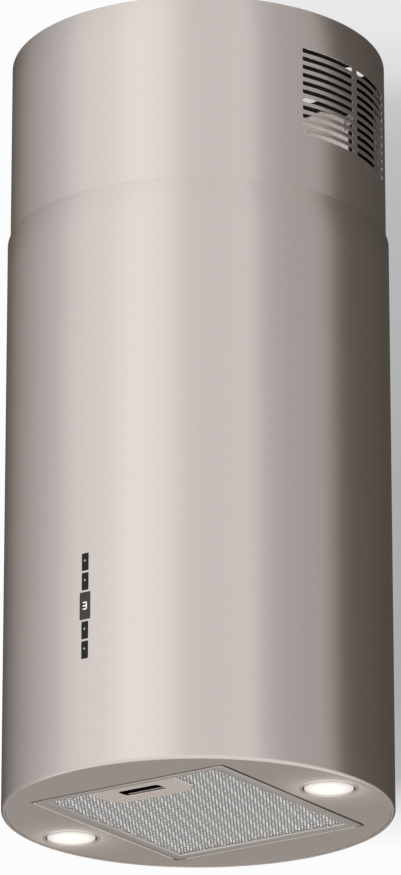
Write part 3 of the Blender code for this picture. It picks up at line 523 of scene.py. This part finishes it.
def curved_wall(outer, inner, openings, base_steps, radius):
    """Closed wall of a cylinder. outer and inner are matching lists of (radius, height)."""
    angles = grid_angles(openings, base_steps, radius)
    bm = bmesh.new()
    out = grid_rows(bm, outer, angles, openings, radius)
    ins = grid_rows(bm, inner, angles, openings, radius)
    count, height = len(angles), len(outer)

    def is_open(i, j):
        if not 0 <= i < height - 1:
            return False
        after = angles[(j + 1) % count] + (2 * math.pi if j + 1 == count else 0)
        middle_a = (angles[j] + after) / 2
        middle_z = (outer[i][1] + outer[i + 1][1]) / 2
        return any(o.holds(middle_a, middle_z) for o in openings)

    for i in range(height - 1):
        for j in range(count):
            k = (j + 1) % count
            if is_open(i, j):
                continue
            bm.faces.new((out[i][j], out[i][k], out[i + 1][k], out[i + 1][j]))
            bm.faces.new((ins[i][k], ins[i][j], ins[i + 1][j], ins[i + 1][k]))
            for beside, edge in (((j - 1) % count, j), (k, k)):
                if is_open(i, beside):
                    bm.faces.new((out[i][edge], out[i + 1][edge], ins[i + 1][edge], ins[i][edge]))
            for beside, row in ((i - 1, i), (i + 1, i + 1)):
                if is_open(beside, j):
                    bm.faces.new((out[row][j], out[row][k], ins[row][k], ins[row][j]))
    for row in (0, height - 1):
        for j in range(count):
            k = (j + 1) % count
            bm.faces.new((out[row][j], out[row][k], ins[row][k], ins[row][j]))
    bmesh.ops.recalc_face_normals(bm, faces=bm.faces)
    return bm


def mark_inside(bm, radius):
    """Give the second material to the faces on the inner side of a wall."""
    for face in bm.faces:
        middle = face.calc_center_median()
        outward = face.normal.x * middle.x + face.normal.y * middle.y
        if outward < 0 and math.hypot(middle.x, middle.y) < radius:
            face.material_index = 1


# ---- Sleeve ----
VENT_ROWS = 11
VENT_FIRST = -0.0409            # height of the top row's middle
VENT_PITCH = 0.0080
VENT_TALL = 0.0045
VENT_CORNER = 0.0012
VENT_NEAR = math.radians(1.2)   # either side of the flank's middle
VENT_FAR = math.radians(22.5)


def vent_openings():
    """Two blocks of slots on each flank."""
    openings = []
    for row in range(VENT_ROWS):
        middle = VENT_FIRST - row * VENT_PITCH
        for centre in (0.0, math.pi):
            for side in (-1, 1):
                a_low, a_high = sorted((centre + side * VENT_NEAR, centre + side * VENT_FAR))
                if centre and side > 0:
                    a_low, a_high = a_low - 2 * math.pi, a_high - 2 * math.pi
                openings.append(Opening(a_low, a_high, middle - VENT_TALL / 2,
                                        middle + VENT_TALL / 2, VENT_CORNER))
    return openings


def add_sleeve():
    """Upper sleeve, slotted on both flanks."""
    openings = vent_openings()
    heights = [SLEEVE_HIGH.z, SLEEVE_HIGH.z - 0.0006, SLEEVE_LOW.z + 0.0006, SLEEVE_LOW.z]
    heights += [SLEEVE_LOW.z + (SLEEVE_HIGH.z - SLEEVE_LOW.z) * i / 12 for i in range(1, 9)]
    heights += [z for o in openings for z in (o.z_low, o.z_high)]
    heights = merged(heights)[::-1]
    outer, inner = [], []
    for z in heights:
        edge = z > SLEEVE_HIGH.z - 0.0003 or z < SLEEVE_LOW.z + 0.0003
        round_off = EDGE_ROUND if edge else 0.0
        outer.append((SLEEVE_RADIUS - round_off, z))
        inner.append((SLEEVE_RADIUS - SLEEVE_WALL + round_off, z))
    bm = curved_wall(outer, inner, openings, 240, SLEEVE_RADIUS)
    mark_inside(bm, SLEEVE_RADIUS - SLEEVE_WALL / 2)
    sleeve = new_piece("sleeve_skin", bm, [MATERIALS["body"], MATERIALS["inner"]],
                       "ceiling_frame")
    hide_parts("upper_sleeve")


# ---- Control column, shared by the shell and the keys ----
BUTTON_NODES = ("button_light", "button_plus", "button_minus", "button_power")
BUTTON_BODIES = ("light_button", "plus_button", "minus_button", "power_button")
KEY_CLEARANCE = 0.00025
KEY_FLANGE = 0.0008             # hidden flange round the rear of a key
KEY_REAR = -0.1712
KEY_SUNK = 0.00006              # cap behind its CAD node's front
MARK_RADIUS, MARK_THICK = 0.0010, 0.0001
MARK_OFFSET = (-0.0003, 0.0012)     # from the key's middle
DIGIT_WIDTH, DIGIT_TALL, DIGIT_BAR = 0.0044, 0.0060, 0.0012


def key_openings():
    """Openings in the shell for the keys and the display."""
    openings = []
    front = -math.pi / 2
    for node in (*BUTTON_NODES, "display_window"):
        low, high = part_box(node)
        flange = KEY_FLANGE if node in BUTTON_NODES else 0.0
        half = (high.x - flange + KEY_CLEARANCE) / BODY_RADIUS
        openings.append(Opening(front - half, front + half, low.z + flange - KEY_CLEARANCE,
                                high.z - flange + KEY_CLEARANCE, 0.0006))
    return openings


def add_body_shell():
    """Hood's cylinder, with its rolled rim and the openings for keys and display."""
    openings = key_openings()
    bend, lip = 0.0030, 0.1712      # the rim is rolled in, as far as the lip's radius
    top = SHELL_HIGH.z
    heights = [top - 0.0005] + [RIM_Z + bend + (top - RIM_Z - bend) * i / 14 for i in range(14)]
    heights += [z for o in openings for z in (o.z_low, o.z_high)]
    heights = [z for z in merged(heights) if z > RIM_Z + bend + 1e-4][::-1]
    outer = [(BODY_RADIUS - EDGE_ROUND, top)] + [(BODY_RADIUS, z) for z in heights]
    inner = [(BODY_RADIUS - BODY_WALL + EDGE_ROUND, top)]
    inner += [(BODY_RADIUS - BODY_WALL, z) for z in heights]
    centre = (BODY_RADIUS - bend, RIM_Z + bend)
    outer += arc(centre, bend, 0, -90, 9) + [(lip, RIM_Z)]
    inner += arc(centre, bend - BODY_WALL, 0, -90, 9) + [(lip, RIM_Z + BODY_WALL)]
    bm = curved_wall(outer, inner, openings, 300, BODY_RADIUS)
    mark_inside(bm, BODY_RADIUS - BODY_WALL / 2)
    shell = new_piece("body_skin", bm, [MATERIALS["body"], MATERIALS["inner"]], "hood",
                      sharp=50)
    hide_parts("body_shell")


# ---- Keys and display ----
def add_keys():
    """Caps of the four keys, each with a dot."""
    mat, nodes, shader = new_material("key_mark")
    speckle = nodes.noise(nodes.place(), 900.0)
    tone = nodes.ramp(speckle, [(0.3, (0.50, 0.49, 0.46)), (0.7, (0.62, 0.61, 0.58))])
    nodes.feed(shader, "Base Color", tone)
    nodes.feed(shader, "Roughness", nodes.ramp(speckle, [(0.3, 0.40), (0.7, 0.50)]))
    for node, body in zip(BUTTON_NODES, BUTTON_BODIES):
        low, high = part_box(node)
        front = low.y + KEY_SUNK
        bm = bmesh.new()
        box(bm, (low.x + KEY_FLANGE, front, low.z + KEY_FLANGE),
            (high.x - KEY_FLANGE, KEY_REAR, high.z - KEY_FLANGE))
        key = new_piece(node + "_cap", bm, MATERIALS["black"], body)
        soften(key, 0.0005, 3)
        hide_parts(node)
        middle = (low.z + high.z) / 2
        bm = bmesh.new()
        disc = bmesh.ops.create_cone(bm, cap_ends=True, segments=24, radius1=MARK_RADIUS,
                                     radius2=MARK_RADIUS * 0.9, depth=MARK_THICK)["verts"]
        for vert in disc:
            x, y, z = vert.co
            vert.co = (x + MARK_OFFSET[0], front - z, middle + MARK_OFFSET[1] + y)
        new_piece(node + "_mark", bm, mat, body)


def digit_three(bm, centre, front, rear):
    """A numeral 3 of rounded bars on the front of the display."""
    x, z = centre
    half, rise, bar = DIGIT_WIDTH / 2, DIGIT_TALL / 2, DIGIT_BAR
    for level in (-rise, 0.0, rise):
        box(bm, (x - half, front, z + level - bar / 2),
            (x + half - bar / 2, rear, z + level + bar / 2))
    box(bm, (x + half - bar, front, z - rise), (x + half, rear, z + rise))


def add_display():
    """Smoked window with its lit digit."""
    low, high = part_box("display_window")
    mat, nodes, shader = new_material("display_smoked")
    cloud = nodes.noise(nodes.place(), 300.0, detail=3.0)
    tone = nodes.ramp(cloud, [(0.3, (0.044, 0.037, 0.028)), (0.7, (0.056, 0.048, 0.037))])
    nodes.feed(shader, "Base Color", tone)
    nodes.feed(shader, "Roughness", nodes.ramp(cloud, [(0.3, 0.22), (0.7, 0.30)]))
    nodes.feed(shader, "Specular IOR Level", 0.3)
    bm = bmesh.new()
    box(bm, low, high)
    window = new_piece("display_glass", bm, mat, "hood")
    soften(window, 0.0004, 3)
    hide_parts("display_window")
    glow, nodes, shader = new_material("digit_glow")
    speckle = nodes.noise(nodes.place(), 800.0)
    colour = nodes.ramp(speckle, [(0.3, (0.80, 0.79, 0.76)), (0.7, (0.90, 0.89, 0.86))])
    nodes.feed(shader, "Base Color", colour)
    nodes.feed(shader, "Emission Color", colour)
    nodes.feed(shader, "Emission Strength", 0.55)
    bm = bmesh.new()
    digit_three(bm, (0.0, (low.z + high.z) / 2), low.y - 0.00004, low.y + 0.0003)
    digit = new_piece("display_digit", bm, glow, "hood")
    soften(digit, 0.0002, 2)


# ---- Underside ----
LAMP_HOLE = 0.0236
FLANGE_WALL = 0.0012
OPENING_GAP = 0.0022            # between the filter's rim and the opening's edge
BEND = 0.0007                   # rounded fold between the plate and its flanges
LEFT_BEND = 0.0014              # the left flange is folded over a rounder edge
TONGUE_SLOT = (-0.0120, 0.0120, RIM_Z + 0.0058, RIM_Z + 0.0084)      # X and height


def add_bottom_plate():
    """Round plate with two lamp holes, and an opening with folded flanges."""
    low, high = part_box("bottom_plate")
    filter_low, filter_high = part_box("filter_frame")
    x = filter_high.x + OPENING_GAP
    y_front, y_rear = filter_low.y - OPENING_GAP, filter_high.y + OPENING_GAP
    across = (y_front + 0.0045, y_rear - 0.0055)      # where the side flanges run
    along = (-x + 0.0100, x - 0.0100)
    outline = [(x, across[0]), (x + BEND, across[0]), (x + BEND, across[1]), (x, across[1]),
               (x, y_rear), (along[1], y_rear), (along[1], y_rear + BEND),
               (along[0], y_rear + BEND), (along[0], y_rear), (-x, y_rear),
               (-x, across[1]), (-x - LEFT_BEND, across[1]), (-x - LEFT_BEND, across[0]),
               (-x, across[0]), (-x, y_front), (along[0], y_front),
               (along[0], y_front - BEND), (along[1], y_front - BEND), (along[1], y_front),
               (x, y_front)]
    holes = [outline] + [circle(LAMP_HOLE, 64, (side * LAMP_X, 0.0)) for side in (-1, 1)]
    bm = plate_with_holes(circle(high.x, 200), holes, low.z, low.z + FLANGE_WALL)
    plate = new_piece("underside_plate", bm, MATERIALS["under"], "hood")
    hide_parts("bottom_plate")
    heights = (low.z, high.z)
    folded_flange("flange_left", (-x - LEFT_BEND, 0.0), (1, 0), across, heights, LEFT_BEND)
    folded_flange("flange_right", (x + BEND, 0.0), (-1, 0), across, heights, BEND)
    folded_flange("flange_front", (0.0, y_front - BEND), (0, 1), along, heights, BEND,
                  TONGUE_SLOT)
    folded_flange("flange_rear", (0.0, y_rear + BEND), (0, -1), along, heights, BEND)


def swept_bar(bm, profile, span, start, inward):
    """Straight bar along X or Y with a profile of (reach, height) points."""
    rings = []
    for place in span:
        if inward[0]:
            points = [(start[0] + inward[0] * reach, place, z) for reach, z in profile]
        else:
            points = [(place, start[1] + inward[1] * reach, z) for reach, z in profile]
        rings.append([bm.verts.new(point) for point in points])
    bm.faces.new(rings[0])
    bm.faces.new(rings[1][::-1])
    for i in range(len(profile)):
        bm.faces.new((rings[0][i - 1], rings[0][i], rings[1][i], rings[1][i - 1]))


def folded_flange(name, start, inward, span, heights, bend, slot=None):
    """Wall folded up from the plate along one side of the opening, with its round bend."""
    underside, top = heights
    outer, inner, overlap = bend, bend - FLANGE_WALL, -0.0002

    def wall(height):
        fold = arc((0.0, underside + bend), bend, -90, 0, 6)
        rear = [(inner, height), (inner, underside + FLANGE_WALL),
                (overlap, underside + FLANGE_WALL)]
        return [(overlap, underside)] + fold + [(outer, height)] + rear

    bm = bmesh.new()
    if slot is None:
        swept_bar(bm, wall(top), span, start, inward)
    else:
        x_low, x_high, z_low, z_high = slot
        swept_bar(bm, wall(top), (span[0], x_low), start, inward)
        swept_bar(bm, wall(top), (x_high, span[1]), start, inward)
        swept_bar(bm, wall(z_low), (x_low, x_high), start, inward)
        above = [(inner, z_high), (outer, z_high), (outer, top), (inner, top)]
        swept_bar(bm, above, (x_low, x_high), start, inward)
    new_piece(name, bm, MATERIALS["under"], "hood")


# ---- Grease filter ----
FILTER_WINDOW = (0.0889, -0.1042, 0.1019)      # half width, front and rear
FILTER_PROUD = 0.0006           # how far the rim's skin stands out of the folded frame


def add_filter_frame():
    """Folded rim: a wall all round, and a flat band up to the window's rolled edge."""
    low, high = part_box("filter_frame")
    sheet, bend, roll = 0.0011, 0.0004, 0.0010
    underside = low.z - FILTER_PROUD
    window_x, window_front, window_rear = FILTER_WINDOW
    from_rim = [(0.0, high.z)] + arc((bend, underside + bend), bend, 180, 270, 4)
    to_window = [(-x, z) for x, z in arc((roll, underside + roll), roll, 270, 180, 3)]
    to_window += [(0.0, underside + 0.0022), (-0.0008, underside + 0.0022),
                  (-0.0012, underside + sheet)]
    back = [(sheet, underside + sheet), (sheet, high.z)]
    rectangles = []
    for inset, height in from_rim:
        rectangles.append((high.x - inset, low.y + inset, high.y - inset, height))
    for inset, height in to_window:
        rectangles.append((window_x - inset, window_front + inset, window_rear - inset, height))
    for inset, height in back:
        rectangles.append((high.x - inset, low.y + inset, high.y - inset, height))
    bm = bmesh.new()
    loops = [[bm.verts.new(p) for p in ((x, y0, z), (x, y1, z), (-x, y1, z), (-x, y0, z))]
             for x, y0, y1, z in rectangles]
    for one, two in zip(loops, loops[1:] + loops[:1]):
        for i in range(4):
            bm.faces.new((one[i - 1], one[i], two[i], two[i - 1]))
    piece = new_piece("filter_rim", bm, MATERIALS["frame"], "filter",
                      sharp=50)
    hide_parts("filter_frame")


MESH_WIDE = 0.00335             # a diamond across, along X
MESH_LONG = 0.0053              # and along Y
STRAND_WIDE = (0.00220, 0.00070)    # the lit direction and the one painted in shade
STRAND_THICK = 0.00045
STRAND_TILT = math.radians(38)
STRAND_SECTION = ((-1, -1), (0, -1.35), (1, -1), (1, 1), (-1, 1))     # in half sizes


def strand(bm, start, end, side, painted_shaded):
    """One flat strand of expanded metal, turned about its own length towards the front."""
    direction = (end - start).normalized()
    wide = STRAND_WIDE[(side + 1) // 2]
    out = Vector((direction.y, -direction.x, 0.0)) * side
    across = out * math.cos(STRAND_TILT) + Vector((0, 0, 1)) * math.sin(STRAND_TILT)
    up = Vector((0, 0, 1)) * math.cos(STRAND_TILT) - out * math.sin(STRAND_TILT)
    verts = []
    for point in (start, end):
        for a, b in STRAND_SECTION:
            offset = across * (a * wide / 2) + up * (b * STRAND_THICK / 2)
            verts.append(bm.verts.new(point + offset))
    count = len(verts) // 2
    for i in range(count):
        k = (i + 1) % count
        face = bm.faces.new((verts[i], verts[k], verts[k + count], verts[i + count]))
        face.material_index = int(painted_shaded)


def expanded_sheet(name, x_half, y_low, y_high, height, mats, keep, offset):
    """Diamond mesh of strands that meet at knuckles. keep says where a strand may be.

    Five in seven strands are lit in one direction, and none in the other; the others are painted
    in shade.
    """
    bm = bmesh.new()
    rows = int((y_high - y_low) / (MESH_LONG / 2))
    columns = int(2 * x_half / MESH_WIDE) + 1
    for row in range(rows):
        y = y_low + row * MESH_LONG / 2
        for column in range(-1, columns + 1):
            x = -x_half + offset + (column + (row % 2) / 2) * MESH_WIDE
            start = Vector((x, y, height))
            for side in (-1, 1):
                end = Vector((x + side * MESH_WIDE / 2, y + MESH_LONG / 2, height))
                # Strands painted in shade: all of one direction, and two in seven of the other.
                painted_shaded = side > 0 or (3 * row + 5 * column) % 7 < 2
                if keep(start) and keep(end):
                    strand(bm, start, end, side, painted_shaded)
    return new_piece(name, bm, mats, "filter")


def add_filter_mesh():
    """Three sheets of expanded metal; the second sheet and the pack between it and the back are
    near-black painted shade.
    """
    low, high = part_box("filter_mesh")
    gap, margin = 0.0004, 0.0015
    side, tray = TRAY_X + gap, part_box("filter_handle")[1].y + gap
    x_edge, y_front, y_rear = 0.0950, low.y + margin, high.y - margin

    def clear(point):
        if abs(point.x) > x_edge or not y_front < point.y < y_rear:
            return False
        return abs(point.x) > side or point.y > tray

    sheets = (("mesh_front", low.z + 0.0008, ("mesh", "mesh_painted_shade"), 0.0),
              ("mesh_second", low.z + 0.0024, ("mesh_painted_dark_shade", "mesh_painted_dark_shade"), 0.0011),
              ("mesh_back", high.z - 0.0008, ("mesh", "mesh_painted_shade"), 0.0))
    for name, height, looks, offset in sheets:
        mats = [MATERIALS[look] for look in looks]
        sheet = expanded_sheet(name, x_edge, low.y, high.y, height, mats, clear, offset)
        if name == "mesh_front":
            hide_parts("filter_mesh")
    outline = [(high.x, low.y), (high.x, high.y), (low.x, high.y), (low.x, low.y),
               (-side, low.y), (-side, tray), (side, tray), (side, low.y)]
    bm = plate_with_holes(outline, [], low.z + 0.0036, high.z - 0.0018)
    # The pack is a near-black slab of painted shade behind the second sheet.
    new_piece("mesh_pack", bm, MATERIALS["mesh_painted_dark_shade"], "filter")


TRAY_X, TRAY_REAR = 0.0253, -0.0640
FINGER_SLOT = (0.0215, -0.0945, -0.0795)       # half width, front and rear


def add_filter_handle():
    """Plate with a finger slot, and the tray behind it."""
    low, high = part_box("filter_handle")
    sheet, wall = 0.0011, 0.0010
    front, rear = low.y, high.y
    right = [(high.x, front), (high.x, rear - 0.0145)]
    right += arc((high.x - 0.0080, rear - 0.0140), 0.0080, 0, 55, 5)
    right += arc((high.x - 0.0150, rear - 0.0050), 0.0050, 55, 90, 3)
    outline = right + [(-x, y) for x, y in reversed(right)]
    half, slot_front, slot_rear = FINGER_SLOT
    pocket = rounded_rectangle(half, slot_front, slot_rear, 0.0042, 6)
    bm = plate_with_holes(outline, [pocket], low.z, low.z + sheet)
    plate = new_piece("handle_plate", bm, MATERIALS["handle"], "filter")
    soften(plate, 0.0003, 3)
    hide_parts("filter_handle")
    bm = bmesh.new()
    low_z, top, edge = low.z + sheet, high.z, front + 0.0003
    inner_rear = TRAY_REAR - wall
    box(bm, (-TRAY_X, inner_rear, low_z), (TRAY_X, TRAY_REAR, top))
    box(bm, (-TRAY_X, edge, top - 0.0007), (TRAY_X, inner_rear, top))
    box(bm, (-TRAY_X, edge, low_z), (TRAY_X, edge + wall, low_z + 0.0028))
    for side in (-1, 1):
        x0, x1 = sorted((side * TRAY_X, side * (TRAY_X - wall)))
        box(bm, (x0, edge + wall, low_z), (x1, inner_rear, top - 0.0007))
    new_piece("handle_tray", bm, MATERIALS["dark_paint"], "filter")


SPRING_WIRE = 0.00022
SPRING_TURNS = 4


def coiled_wire(middle, radius, y_start, y_end):
    """Round wire wound about Y, closed at both ends."""
    bm = bmesh.new()
    count, sides = SPRING_TURNS * 24, 8
    rings = []
    for step in range(count + 1):
        turn = 2 * math.pi * SPRING_TURNS * step / count
        out = Vector((math.cos(turn), 0.0, math.sin(turn)))
        centre = Vector((middle.x, y_start + (y_end - y_start) * step / count, middle.z))
        centre += out * radius
        ring = []
        for side in range(sides):
            angle = 2 * math.pi * side / sides
            offset = out * math.cos(angle) + Vector((0, 1, 0)) * math.sin(angle)
            ring.append(bm.verts.new(centre + offset * SPRING_WIRE))
        rings.append(ring)
    for start, end in zip(rings, rings[1:]):
        for side in range(sides):
            follow = (side + 1) % sides
            bm.faces.new((start[side], start[follow], end[follow], end[side]))
    bm.faces.new(rings[0][::-1])
    bm.faces.new(rings[-1])
    return bm


def add_latch():
    """Slider with a rounded lip, its dark finger wall and its tongue."""
    low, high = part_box("filter_latch")
    front, rear = low.y + 0.0355, high.y
    top = low.z + 0.0012
    bm = bmesh.new()
    ramp = [(front, low.z + 0.0003), (front + 0.0012, low.z), (rear, low.z), (rear, top),
            (front, top)]
    verts = [[bm.verts.new((x, y, z)) for y, z in ramp] for x in (low.x, high.x)]
    bm.faces.new(verts[0])
    bm.faces.new(verts[1][::-1])
    for i in range(len(ramp)):
        bm.faces.new((verts[0][i - 1], verts[0][i], verts[1][i], verts[1][i - 1]))
    slider = new_piece("latch_slider", bm, MATERIALS["handle"], "latch")
    soften(slider, 0.0002, 2)
    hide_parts("filter_latch")
    bm = bmesh.new()
    box(bm, (low.x, front + 0.0004, low.z + 0.0016), (high.x, front + 0.0016, high.z))
    box(bm, (-0.0110, low.y, high.z - 0.0012), (0.0110, front + 0.0006, high.z))
    box(bm, (-0.006, rear - 0.0012, top - 0.0002), (0.006, rear, high.z - 0.0004))
    wall = new_piece("latch_wall", bm, MATERIALS["dark_paint"], "latch")
    soften(wall, 0.0002, 2)
    spring_low, spring_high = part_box("latch_spring")
    middle = (spring_low + spring_high) / 2
    coil = (spring_high.x - spring_low.x) / 2 - SPRING_WIRE
    bm = coiled_wire(middle, coil, spring_low.y + SPRING_WIRE, spring_high.y - SPRING_WIRE)
    spring = new_piece("latch_coil", bm, MATERIALS["plain_steel"], "filter", 60.0)
    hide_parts("latch_spring")
    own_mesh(spring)


# ---- Lamps ----
LENS_PROUD = 0.0013             # how far the dome stands below the flat lens
DOME_RISE = 0.0006
DOME_STEPS = 12
RIDGE = 0.00006                 # pressed rings in the glass


def add_lamps():
    """Turned bezel, dark gasket and domed glass of each lamp; the gasket's dark ring also paints
    the shade of the gap round the glass.
    """
    for word in ("left", "right"):
        low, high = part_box(f"lamp_lens_{word}")
        ring_low, ring_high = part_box(f"lamp_ring_{word}")
        centre = ((low.x + high.x) / 2, 0.0)
        radius = (high.x - low.x) / 2
        outer = (ring_high.x - ring_low.x) / 2
        inner = radius + 0.0016
        z = ring_low.z
        ring = [(inner, z + 0.0030)] + arc((inner + 0.0007, z + 0.0007), 0.0007, 180, 270, 4)
        ring += arc((outer - 0.0009, z + 0.0009), 0.0009, 270, 360, 4)
        ring += [(0.0244, z + 0.0010), (0.0244, ring_high.z), (inner, ring_high.z)]
        bm = turned(ring, 96, centre)
        piece = new_piece(f"lamp_bezel_{word}", bm, MATERIALS["chrome"], "hood")
        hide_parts(f"lamp_ring_{word}")
        # Dark ring round the glass: gasket rubber that also stands for the shade in the gap.
        seat = [(radius + 0.0001, low.z + 0.0012), (inner - 0.0001, low.z + 0.0008),
                (inner - 0.0001, high.z), (radius + 0.0001, high.z)]
        bm = turned(seat, 96, centre)
        new_piece(f"lamp_gasket_{word}", bm, MATERIALS["gasket_and_shadow_gap"], "hood")
        dome = [(0.0, low.z - LENS_PROUD)]
        for step in range(1, DOME_STEPS + 1):
            share = step / DOME_STEPS
            rise = DOME_RISE * share ** 4 + RIDGE * (step % 2)
            dome.append((radius * share, low.z - LENS_PROUD + rise))
        dome += [(radius, high.z), (0.0, high.z)]
        bm = turned(dome, 72, centre, closed=False)
        lens = new_piece(f"lamp_glass_{word}", bm, MATERIALS["lamp"], "hood")
        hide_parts(f"lamp_lens_{word}")


# ---- Carried-over CAD nodes ----
def dress_cad_nodes():
    """Give each CAD node that still shows its procedural material."""
    looks = {
        "zinc": ("chassis_base", "cross_plate", "frame_top_ring", "shell_bracket",
                 "motor_bracket"),
        # The ceiling plate and posts are near-black, so the top of the sleeve stays black through
        # the vents under the inside light.
        "dark_paint": ("ceiling_plate", "upper_post", "lower_post"),
        "inner": ("sleeve_bracket",),
        "plain_steel": ("filter_pin", "motor_shaft", "damper_axle", "motor"),
        "grey": ("scroll_housing", "scroll_cover", "outlet_collar", "led_driver",
                 "lamp_housing", "junction_box"),
        "white_plastic": ("motor_capacitor",),
        "black": ("impeller", "damper_flap", "cable_gland", "control_housing"),
        "rubber": ("motor_mount",),
        "board": ("control_board",),
    }
    for name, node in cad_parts.items():
        if node.hide_render:
            continue
        fitting = [(len(start), look) for look, starts in looks.items()
                   for start in starts if name.startswith(start)]
        look = max(fitting)[1]
        node.data.materials.clear()
        node.data.materials.append(MATERIALS[look])


# ---- Studio ----
def add_camera():
    """Long lens from below, to the right of the front."""
    data = bpy.data.cameras.new("camera")
    data.lens = LENS
    data.sensor_width = 36.0
    data.shift_x = SHIFT_X
    data.clip_end = 100.0
    camera = bpy.data.objects.new("camera", data)
    bpy.context.scene.collection.objects.link(camera)
    back = Vector((math.sin(VIEW_AZIMUTH), -math.cos(VIEW_AZIMUTH), 0.0))
    camera.location = back * VIEW_DISTANCE + Vector((0, 0, RIM_Z - VIEW_DROP))
    look = -back * math.cos(VIEW_TILT) + Vector((0, 0, math.sin(VIEW_TILT)))
    camera.rotation_mode = "QUATERNION"
    camera.rotation_quaternion = look.to_track_quat("-Z", "Y")
    bpy.context.scene.camera = camera


def studio_light(nodes, x, y, up):
    """Colour of the surroundings by direction, before their strength."""
    turns = nodes.math("MULTIPLY", nodes.math("ARCTAN2", y, x), 1 / (2 * math.pi))
    share = nodes.math("ADD", turns, 0.5)

    def around(table):
        return nodes.ramp(share, [((angle + 180) / 360, warm(value / STUDIO_STRENGTH))
                                  for angle, value in table])

    soft = nodes.mix(nodes.fade(up, -0.02, -0.26), around(WALL_LIGHT), around(LOW_LIGHT))
    soft = nodes.mix(nodes.fade(up, -0.48, -0.68), soft, (FLOOR_LIGHT / STUDIO_STRENGTH,) * 3)
    return nodes.mix(nodes.fade(up, 0.65, 0.95), soft, (OVERHEAD_LIGHT / STUDIO_STRENGTH,) * 3)


def backdrop_with_painted_shadow(nodes, x, y, up):
    """White to the left of the hood, and a painted shadow of the hood in grey bands to its right.
    """
    degrees = nodes.math("MULTIPLY", nodes.math("ARCSINE", up), 180 / math.pi)
    share = nodes.math("DIVIDE", nodes.math("SUBTRACT", degrees, BACKDROP_LOW), BACKDROP_SPAN)
    # Painted shadow: grey bands by height, standing in for the hood's soft shadow on the
    # backdrop.
    grey = nodes.ramp(share, [((angle - BACKDROP_LOW) / BACKDROP_SPAN, value)
                              for angle, value in PAINTED_BACKDROP_SHADOW])
    aside = nodes.math("DIVIDE", y, nodes.math("MULTIPLY", x, -1.0))
    return nodes.mix(nodes.fade(aside, -0.014, 0.016), (BACKDROP_WHITE,) * 3, grey)


def add_world():
    """Soft studio surroundings: bright in front and to the left, dim to the right."""
    world = bpy.data.worlds.new("studio")
    bpy.context.scene.world = world
    world.use_nodes = True
    world.node_tree.nodes.clear()
    nodes = Nodes(world.node_tree)
    coords = nodes.new("ShaderNodeTexCoord")
    turn = nodes.new("ShaderNodeMapping")
    nodes.feed(turn, "Rotation", (0, 0, math.pi / 2 - VIEW_AZIMUTH))
    nodes.feed(turn, "Vector", coords.outputs["Generated"])
    split = nodes.new("ShaderNodeSeparateXYZ")
    nodes.feed(split, 0, turn.outputs["Vector"])
    lit = nodes.new("ShaderNodeBackground")
    nodes.feed(lit, "Color", studio_light(nodes, *split.outputs))
    nodes.feed(lit, "Strength", STUDIO_STRENGTH)
    seen = nodes.new("ShaderNodeBackground")
    nodes.feed(seen, "Color", backdrop_with_painted_shadow(nodes, *split.outputs))
    path = nodes.new("ShaderNodeLightPath")
    both = nodes.new("ShaderNodeMixShader")
    nodes.feed(both, 0, path.outputs["Is Camera Ray"])
    nodes.feed(both, 1, lit.outputs[0])
    nodes.feed(both, 2, seen.outputs[0])
    out = nodes.new("ShaderNodeOutputWorld")
    nodes.feed(out, "Surface", both.outputs[0])


def add_inside_light():
    """Light that falls on the sleeve's rear inner wall, seen through the vents."""
    data = bpy.data.lights.new("sleeve_light", "SPOT")
    data.energy = 2.8
    data.color = (0.97, 0.96, 1.0)
    data.spot_size = math.radians(62)
    data.spot_blend = 0.5
    data.shadow_soft_size = 0.02
    lamp = bpy.data.objects.new("sleeve_light", data)
    lamp.location = (0.010, -0.020, -0.170)
    aim = Vector((0.036, 0.169, -0.118)) - lamp.location
    lamp.rotation_mode = "QUATERNION"
    lamp.rotation_quaternion = aim.to_track_quat("-Z", "Y")
    lamp.visible_camera = False
    bpy.context.scene.collection.objects.link(lamp)


def add_wiring_channel():
    """Black channel up the inside of the sleeve that carries the mains lead."""
    from_deg, to_deg, steps = 59.0, 65.2, 5
    outer, inner, top, bottom = 0.1690, 0.1640, -0.0180, -0.1500
    outline = arc((0.0, 0.0), outer, from_deg, to_deg, steps)
    outline += arc((0.0, 0.0), inner, to_deg, from_deg, steps)
    bm = plate_with_holes(outline, [], bottom, top)
    channel = new_piece("wiring_channel", bm, MATERIALS["black"], "ceiling_frame")
    soften(channel, 0.0008, 3)


def add_floor():
    """Pale floor, far below."""
    bm = bmesh.new()
    bmesh.ops.create_grid(bm, x_segments=2, y_segments=2, size=40.0)
    mesh = bpy.data.meshes.new("floor")
    bm.to_mesh(mesh)
    bm.free()
    floor = bpy.data.objects.new("floor", mesh)
    floor.location.z = FLOOR_Z
    bpy.context.scene.collection.objects.link(floor)
    mat, nodes, shader = new_material("floor_pale")
    cloud = nodes.noise(nodes.place(), 0.8)
    tone = nodes.ramp(cloud, [(0.3, (0.86, 0.86, 0.855)), (0.7, (0.90, 0.90, 0.895))])
    nodes.feed(shader, "Base Color", tone)
    nodes.feed(shader, "Roughness", 0.8)
    mesh.materials.append(mat)
    floor.visible_glossy = False


add_camera()
add_world()
add_floor()
add_inside_light()
add_sleeve()
add_wiring_channel()
add_body_shell()
add_keys()
add_display()
add_bottom_plate()
add_filter_frame()
add_filter_mesh()
add_filter_handle()
add_latch()
add_lamps()
dress_cad_nodes()
bpy.context.scene.view_settings.view_transform = "Standard"
